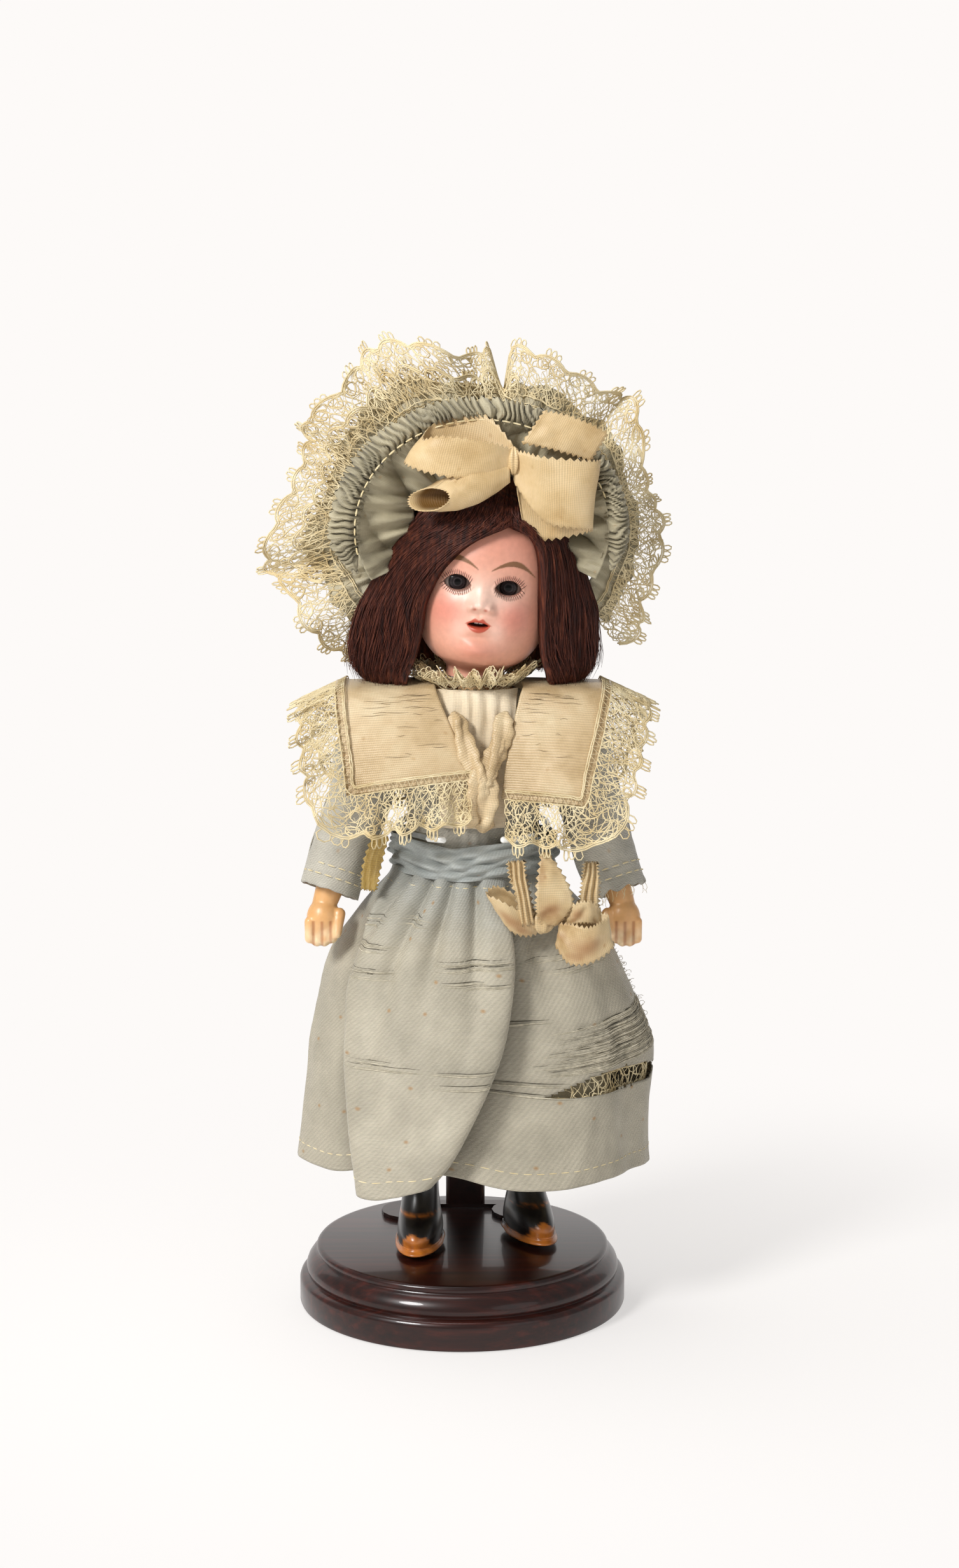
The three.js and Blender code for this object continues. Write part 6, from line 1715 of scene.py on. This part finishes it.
HIP_BOW = {
    "inner": (34, 0.7, False, [
        (20.5, -24, 103.5, 0, 0, 2.0), (15.5, -27, 104.2, -0.8, 0, 3.6), (10, -28, 106.6, -1.5, 0, 4.6),
        (6.2, -26.5, 110, -2.0, 0, 3.2), (8, -23.7, 111.5, -1.5, 0, 3.4), (13, -23.2, 109, -1, 0, 3.4),
        (19, -23.5, 104.5, 0, 0, 2),
    ]),
    "upper": (24, 0.6, True, [
        (22.4, -27.5, 104, 2.2, 0, 0), (23.4, -29, 108.5, 4.8, 0.6, 0), (23.8, -28.8, 112, 5.5, 0.9, 0),
        (22.7, -27.6, 119, 3.8, 0.6, 0), (20.9, -25.5, 125.3, 0.9, 0, 0),
    ]),
    "outer": (22, 0.7, True, [
        (26.5, -27.5, 106, 0, 0, 2.5), (31, -29.5, 108.2, 0, 0, 3.2), (35, -29, 108, 0, 0, 3.2),
        (38, -26.5, 105.5, 0, 0, 2.8),
    ]),
    "lower": (46, 1.2, False, [
        (24.5, -28.5, 101.5, 0.6, 0, 3.2), (28, -31.5, 99.5, 0.8, 0, 5.6), (33, -33, 99, 0.6, 0, 5.6),
        (37.5, -32, 100.6, -0.6, 0, 5), (40.5, -28.8, 102.6, -1.2, 0, 3.8), (38, -26.6, 103.4, 0, 0, 4),
        (31, -27, 102.6, 0, 0, 4), (25, -27, 102, 0, 0, 3),
    ]),
}
HIP_ENDS = {
    "crumpled": [
        (15.7, -27.5, 104, 2.4, 0, 0.4), (14.8, -26.8, 112, 2.2, 0, 0.3), (13.2, -24.6, 118, 2.3, 0, 0.3),
        (12.6, -23.4, 122.3, 2.4, 0, 0.2),
    ],
    "far": [(33.8, -26, 109, 3.2, 0, 0), (34.6, -24.6, 116, 2.6, 0, 0), (34.6, -23.4, 122, 1.8, 0, 0)],
}


def build_hip_bow():
    stained = finish("hip")

    def stain(u, v):
        patches = 0.35 * ease(rough(u * 3, v * 5, 4), 0.1, 0.6)
        return patches + 0.7 * bump(v, 0.3, 0.14) * bump(u, 0.42, 0.26)

    ends = []
    for name, guides in HIP_ENDS.items():
        bm = ribbon(guides, 20, 0.8, True, 16)[0]
        ends.append(piece("hip_ribbon_end_" + name, bm, stained, "torso"))
        thicken(ends[-1], 0.3, -1.0)
    pressed(ends[1])
    for name, (length, crumple, cut, guides) in HIP_BOW.items():
        built = wear_and_shade_at(ribbon(guides, length, 0.0, cut, 12, crumple), stain)
        cloth(
            "hip_ribbon_" + name, built, stained, "torso",
            ["hip_bow_" + name], thickness=0.3,
        )
    knot = knot_shape((20.5, -25.5, 104.5), (3.4, 2.4, 3.4), 5)
    piece("hip_ribbon_knot", knot, stained, "torso", ["hip_bow_knot"])


def build_side_ribbon():
    """The yellowed ribbon tucked into the sash at the doll's right."""
    guides = [
        (-27.6, -13.0, 128, 2.3, -1.4, 0), (-29.4, -14.2, 122, 2.6, -1.4, 0),
        (-30.8, -15.6, 116, 2.5, -1.4, 0), (-31.4, -17.0, 112.5, 2.2, -1.4, 0),
    ]
    built = ribbon(guides, 17, 0.5, True)
    tucked = cloth("side_ribbon", built, finish("side"), "torso", thickness=0.3)
    pressed(tucked)


def build_stage():
    """Pale sweep, soft lights and the camera of the picture."""
    scene = bpy.context.scene

    def paper_sweep(u, v):
        up = 0 if v < 0.6 else 2600 * ((v - 0.6) / 0.4) ** 1.6
        return Vector((lerp(-3000, 3000, u), lerp(-1800, 2500, min(1, 1.6 * v)), up))

    bm = grid(2, 40, paper_sweep)[0]
    bmesh.ops.transform(bm, matrix=Matrix.Scale(MM, 4), verts=bm.verts)
    mesh = to_mesh("sweep", bm)
    sweep = placed("sweep", mesh)
    paper, tree, shader = new_material("White studio paper", Base_Color=srgb("#f4f1ee"), Roughness=0.9)
    seen = add(tree, "ShaderNodeLightPath")
    at = add(tree, "ShaderNodeTexCoord").outputs["Object"]
    away = add(tree, "ShaderNodeVectorMath", {1: (0.02, 0.0, 0.0)}, {0: at}, operation="DISTANCE")
    clear = add(
        tree, "ShaderNodeMapRange", {1: 0.06, 2: 0.28, 3: 0.58, 4: 1.0}, {0: away.outputs["Value"]},
        interpolation_type="SMOOTHSTEP",
    )
    lit = seen.outputs["Is Camera Ray"]
    for ray in ("Is Glossy Ray", "Is Transmission Ray"):
        lit = add(tree, "ShaderNodeMath", links={0: lit, 1: seen.outputs[ray]}, operation="MAXIMUM")
    shown = add(tree, "ShaderNodeMath", links={0: lit, 1: clear}, operation="MULTIPLY")
    glow = add(tree, "ShaderNodeEmission", {"Color": srgb("#fdfaf8"), "Strength": 1.0})
    blend = add(tree, "ShaderNodeMixShader", links={0: shown, 1: shader, 2: glow})
    tree.links.new(blend.outputs[0], tree.nodes["Material Output"].inputs["Surface"])
    mesh.materials.append(paper)
    mesh.polygons.foreach_set("use_smooth", [True] * len(mesh.polygons))

    world = bpy.data.worlds.new("Studio")
    scene.world = world
    world.use_nodes = True
    sky = world.node_tree.nodes["Background"]
    sky.inputs["Color"].default_value = srgb("#ffffff")
    sky.inputs["Strength"].default_value = 0.36
    aim = Vector((0.0, 0.0, 0.15))
    for name, place, size_m, power in (
        ("key", (-0.8, -0.9, 0.95), 0.42, 18.5),
        ("fill", (0.9, -1.1, 0.5), 0.9, 1.4),
        ("top", (-0.2, 0.2, 1.25), 0.7, 5.0),
    ):
        lamp = bpy.data.lights.new(name, "AREA")
        lamp.shape = "DISK"
        lamp.size = size_m
        lamp.energy = power
        obj = placed(name, lamp)
        obj.location = place
        obj.rotation_euler = (aim - Vector(place)).to_track_quat("-Z", "Y").to_euler()
    camera = bpy.data.cameras.new("Camera")
    camera.lens = 74.98
    camera.clip_end = 20.0
    view = placed("Camera", camera)
    view.location = (0.0053, -0.9641, 0.3403)
    view.rotation_euler = (math.radians(90 - 10.53), 0, 0)
    scene.camera = view
    scene.view_settings.view_transform = "Standard"


class DollSizes(bpy.types.PropertyGroup):
    """Counts and sizes of the fine work."""
    hair_strands: IntProperty(
        name="Hair strands", description="Separate fibres laid over the wig",
        default=1900, min=100, max=4000,
    )


def tint(name, description, colour):
    return FloatVectorProperty(
        name=name, description=description, subtype="COLOR", size=4, default=srgb(colour),
    )


class DollLooks(bpy.types.PropertyGroup):
    """Main colours."""
    hair: tint("Hair", "Main tone of the mohair", "#4b2115")
    bisque: tint("Bisque", "Skin tone of the head", "#db9f87")
    blush: tint("Blush", "Rose of the cheeks", "#d67d6c")
    lips: tint("Lips", "Red of the mouth", "#b94e36")
    hand: tint("Hands", "Flesh paint of the arms", "#dca86e")
    boot: tint("Boots", "Black paint of stockings and boots", "#1b1817")
    sole: tint("Soles", "Bare orange composition", "#cf7a2a")


class OBJECT_OT_doll_stage(bpy.types.Operator):
    """Adds the sweep, lights and camera"""
    bl_idname = "object.doll_stage"
    bl_label = "Stage"

    def execute(self, context):
        build_stage()
        return {"FINISHED"}


class OBJECT_OT_doll_stand(bpy.types.Operator):
    """Adds the turned base and its screws and finishes the metal"""
    bl_idname = "object.doll_stand"
    bl_label = "Stand"

    def execute(self, context):
        build_stand()
        build_hidden()
        return {"FINISHED"}


class OBJECT_OT_doll_limbs(bpy.types.Operator):
    """Adds the painted legs and arms"""
    bl_idname = "object.doll_limbs"
    bl_label = "Limbs"

    def execute(self, context):
        build_legs(context.scene.doll_looks)
        build_arms(context.scene.doll_looks)
        return {"FINISHED"}


class OBJECT_OT_doll_head(bpy.types.Operator):
    """Adds the bisque head with its eyes, teeth and lashes"""
    bl_idname = "object.doll_head"
    bl_label = "Head"

    def execute(self, context):
        build_head(context.scene.doll_looks)
        return {"FINISHED"}


class OBJECT_OT_doll_wig(bpy.types.Operator):
    """Adds the mohair wig"""
    bl_idname = "object.doll_wig"
    bl_label = "Wig"

    def execute(self, context):
        build_wig(context.scene.doll_looks)
        return {"FINISHED"}


class OBJECT_OT_doll_bonnet(bpy.types.Operator):
    """Adds the bonnet with its roll, frill and lace"""
    bl_idname = "object.doll_bonnet"
    bl_label = "Bonnet"

    def execute(self, context):
        build_bonnet()
        return {"FINISHED"}


class OBJECT_OT_doll_hat_bow(bpy.types.Operator):
    """Adds the ribbon bow on the bonnet"""
    bl_idname = "object.doll_hat_bow"
    bl_label = "Bonnet bow"

    def execute(self, context):
        build_hat_bow()
        return {"FINISHED"}


class OBJECT_OT_doll_dress(bpy.types.Operator):
    """Adds the skirt, petticoat, bodice, sash and sleeves"""
    bl_idname = "object.doll_dress"
    bl_label = "Dress"

    def execute(self, context):
        build_skirt()
        build_bodice()
        build_sleeves()
        return {"FINISHED"}


class OBJECT_OT_doll_collar(bpy.types.Operator):
    """Adds the collars, their lace, the vest, the tie and the neck frill"""
    bl_idname = "object.doll_collar"
    bl_label = "Collar"

    def execute(self, context):
        build_collar()
        return {"FINISHED"}


class OBJECT_OT_doll_hip_bow(bpy.types.Operator):
    """Adds the ribbons at the waist"""
    bl_idname = "object.doll_hip_bow"
    bl_label = "Waist ribbons"

    def execute(self, context):
        build_hip_bow()
        build_side_ribbon()
        return {"FINISHED"}


class VIEW3D_PT_doll(bpy.types.Panel):
    """Sidebar panel of the doll"""
    bl_label = "Doll"
    bl_idname = "VIEW3D_PT_doll"
    bl_space_type = "VIEW_3D"
    bl_region_type = "UI"
    bl_category = "Doll"

    def draw(self, context):
        for step in STEPS:
            self.layout.operator(step.bl_idname)
        for group in (context.scene.doll_sizes, context.scene.doll_looks):
            for key in group.bl_rna.properties.keys():
                if key not in ("rna_type", "name"):
                    self.layout.prop(group, key)


STEPS = (
    OBJECT_OT_doll_stage, OBJECT_OT_doll_stand, OBJECT_OT_doll_limbs, OBJECT_OT_doll_head,
    OBJECT_OT_doll_wig, OBJECT_OT_doll_bonnet, OBJECT_OT_doll_hat_bow, OBJECT_OT_doll_dress,
    OBJECT_OT_doll_collar, OBJECT_OT_doll_hip_bow,
)
CLASSES = (DollSizes, DollLooks, *STEPS, VIEW3D_PT_doll)


def register():
    for kind in CLASSES:
        bpy.utils.register_class(kind)
    bpy.types.Scene.doll_sizes = PointerProperty(type=DollSizes)
    bpy.types.Scene.doll_looks = PointerProperty(type=DollLooks)


def unregister():
    del bpy.types.Scene.doll_looks
    del bpy.types.Scene.doll_sizes
    for kind in reversed(CLASSES):
        bpy.utils.unregister_class(kind)


def main():
    register()
    bpy.ops.object.doll_stage()
    bpy.ops.object.doll_stand()
    bpy.ops.object.doll_limbs()
    bpy.ops.object.doll_head()
    bpy.ops.object.doll_wig()
    bpy.ops.object.doll_bonnet()
    bpy.ops.object.doll_hat_bow()
    bpy.ops.object.doll_dress()
    bpy.ops.object.doll_collar()
    bpy.ops.object.doll_hip_bow()
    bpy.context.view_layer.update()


if __name__ == "__main__":
    main()
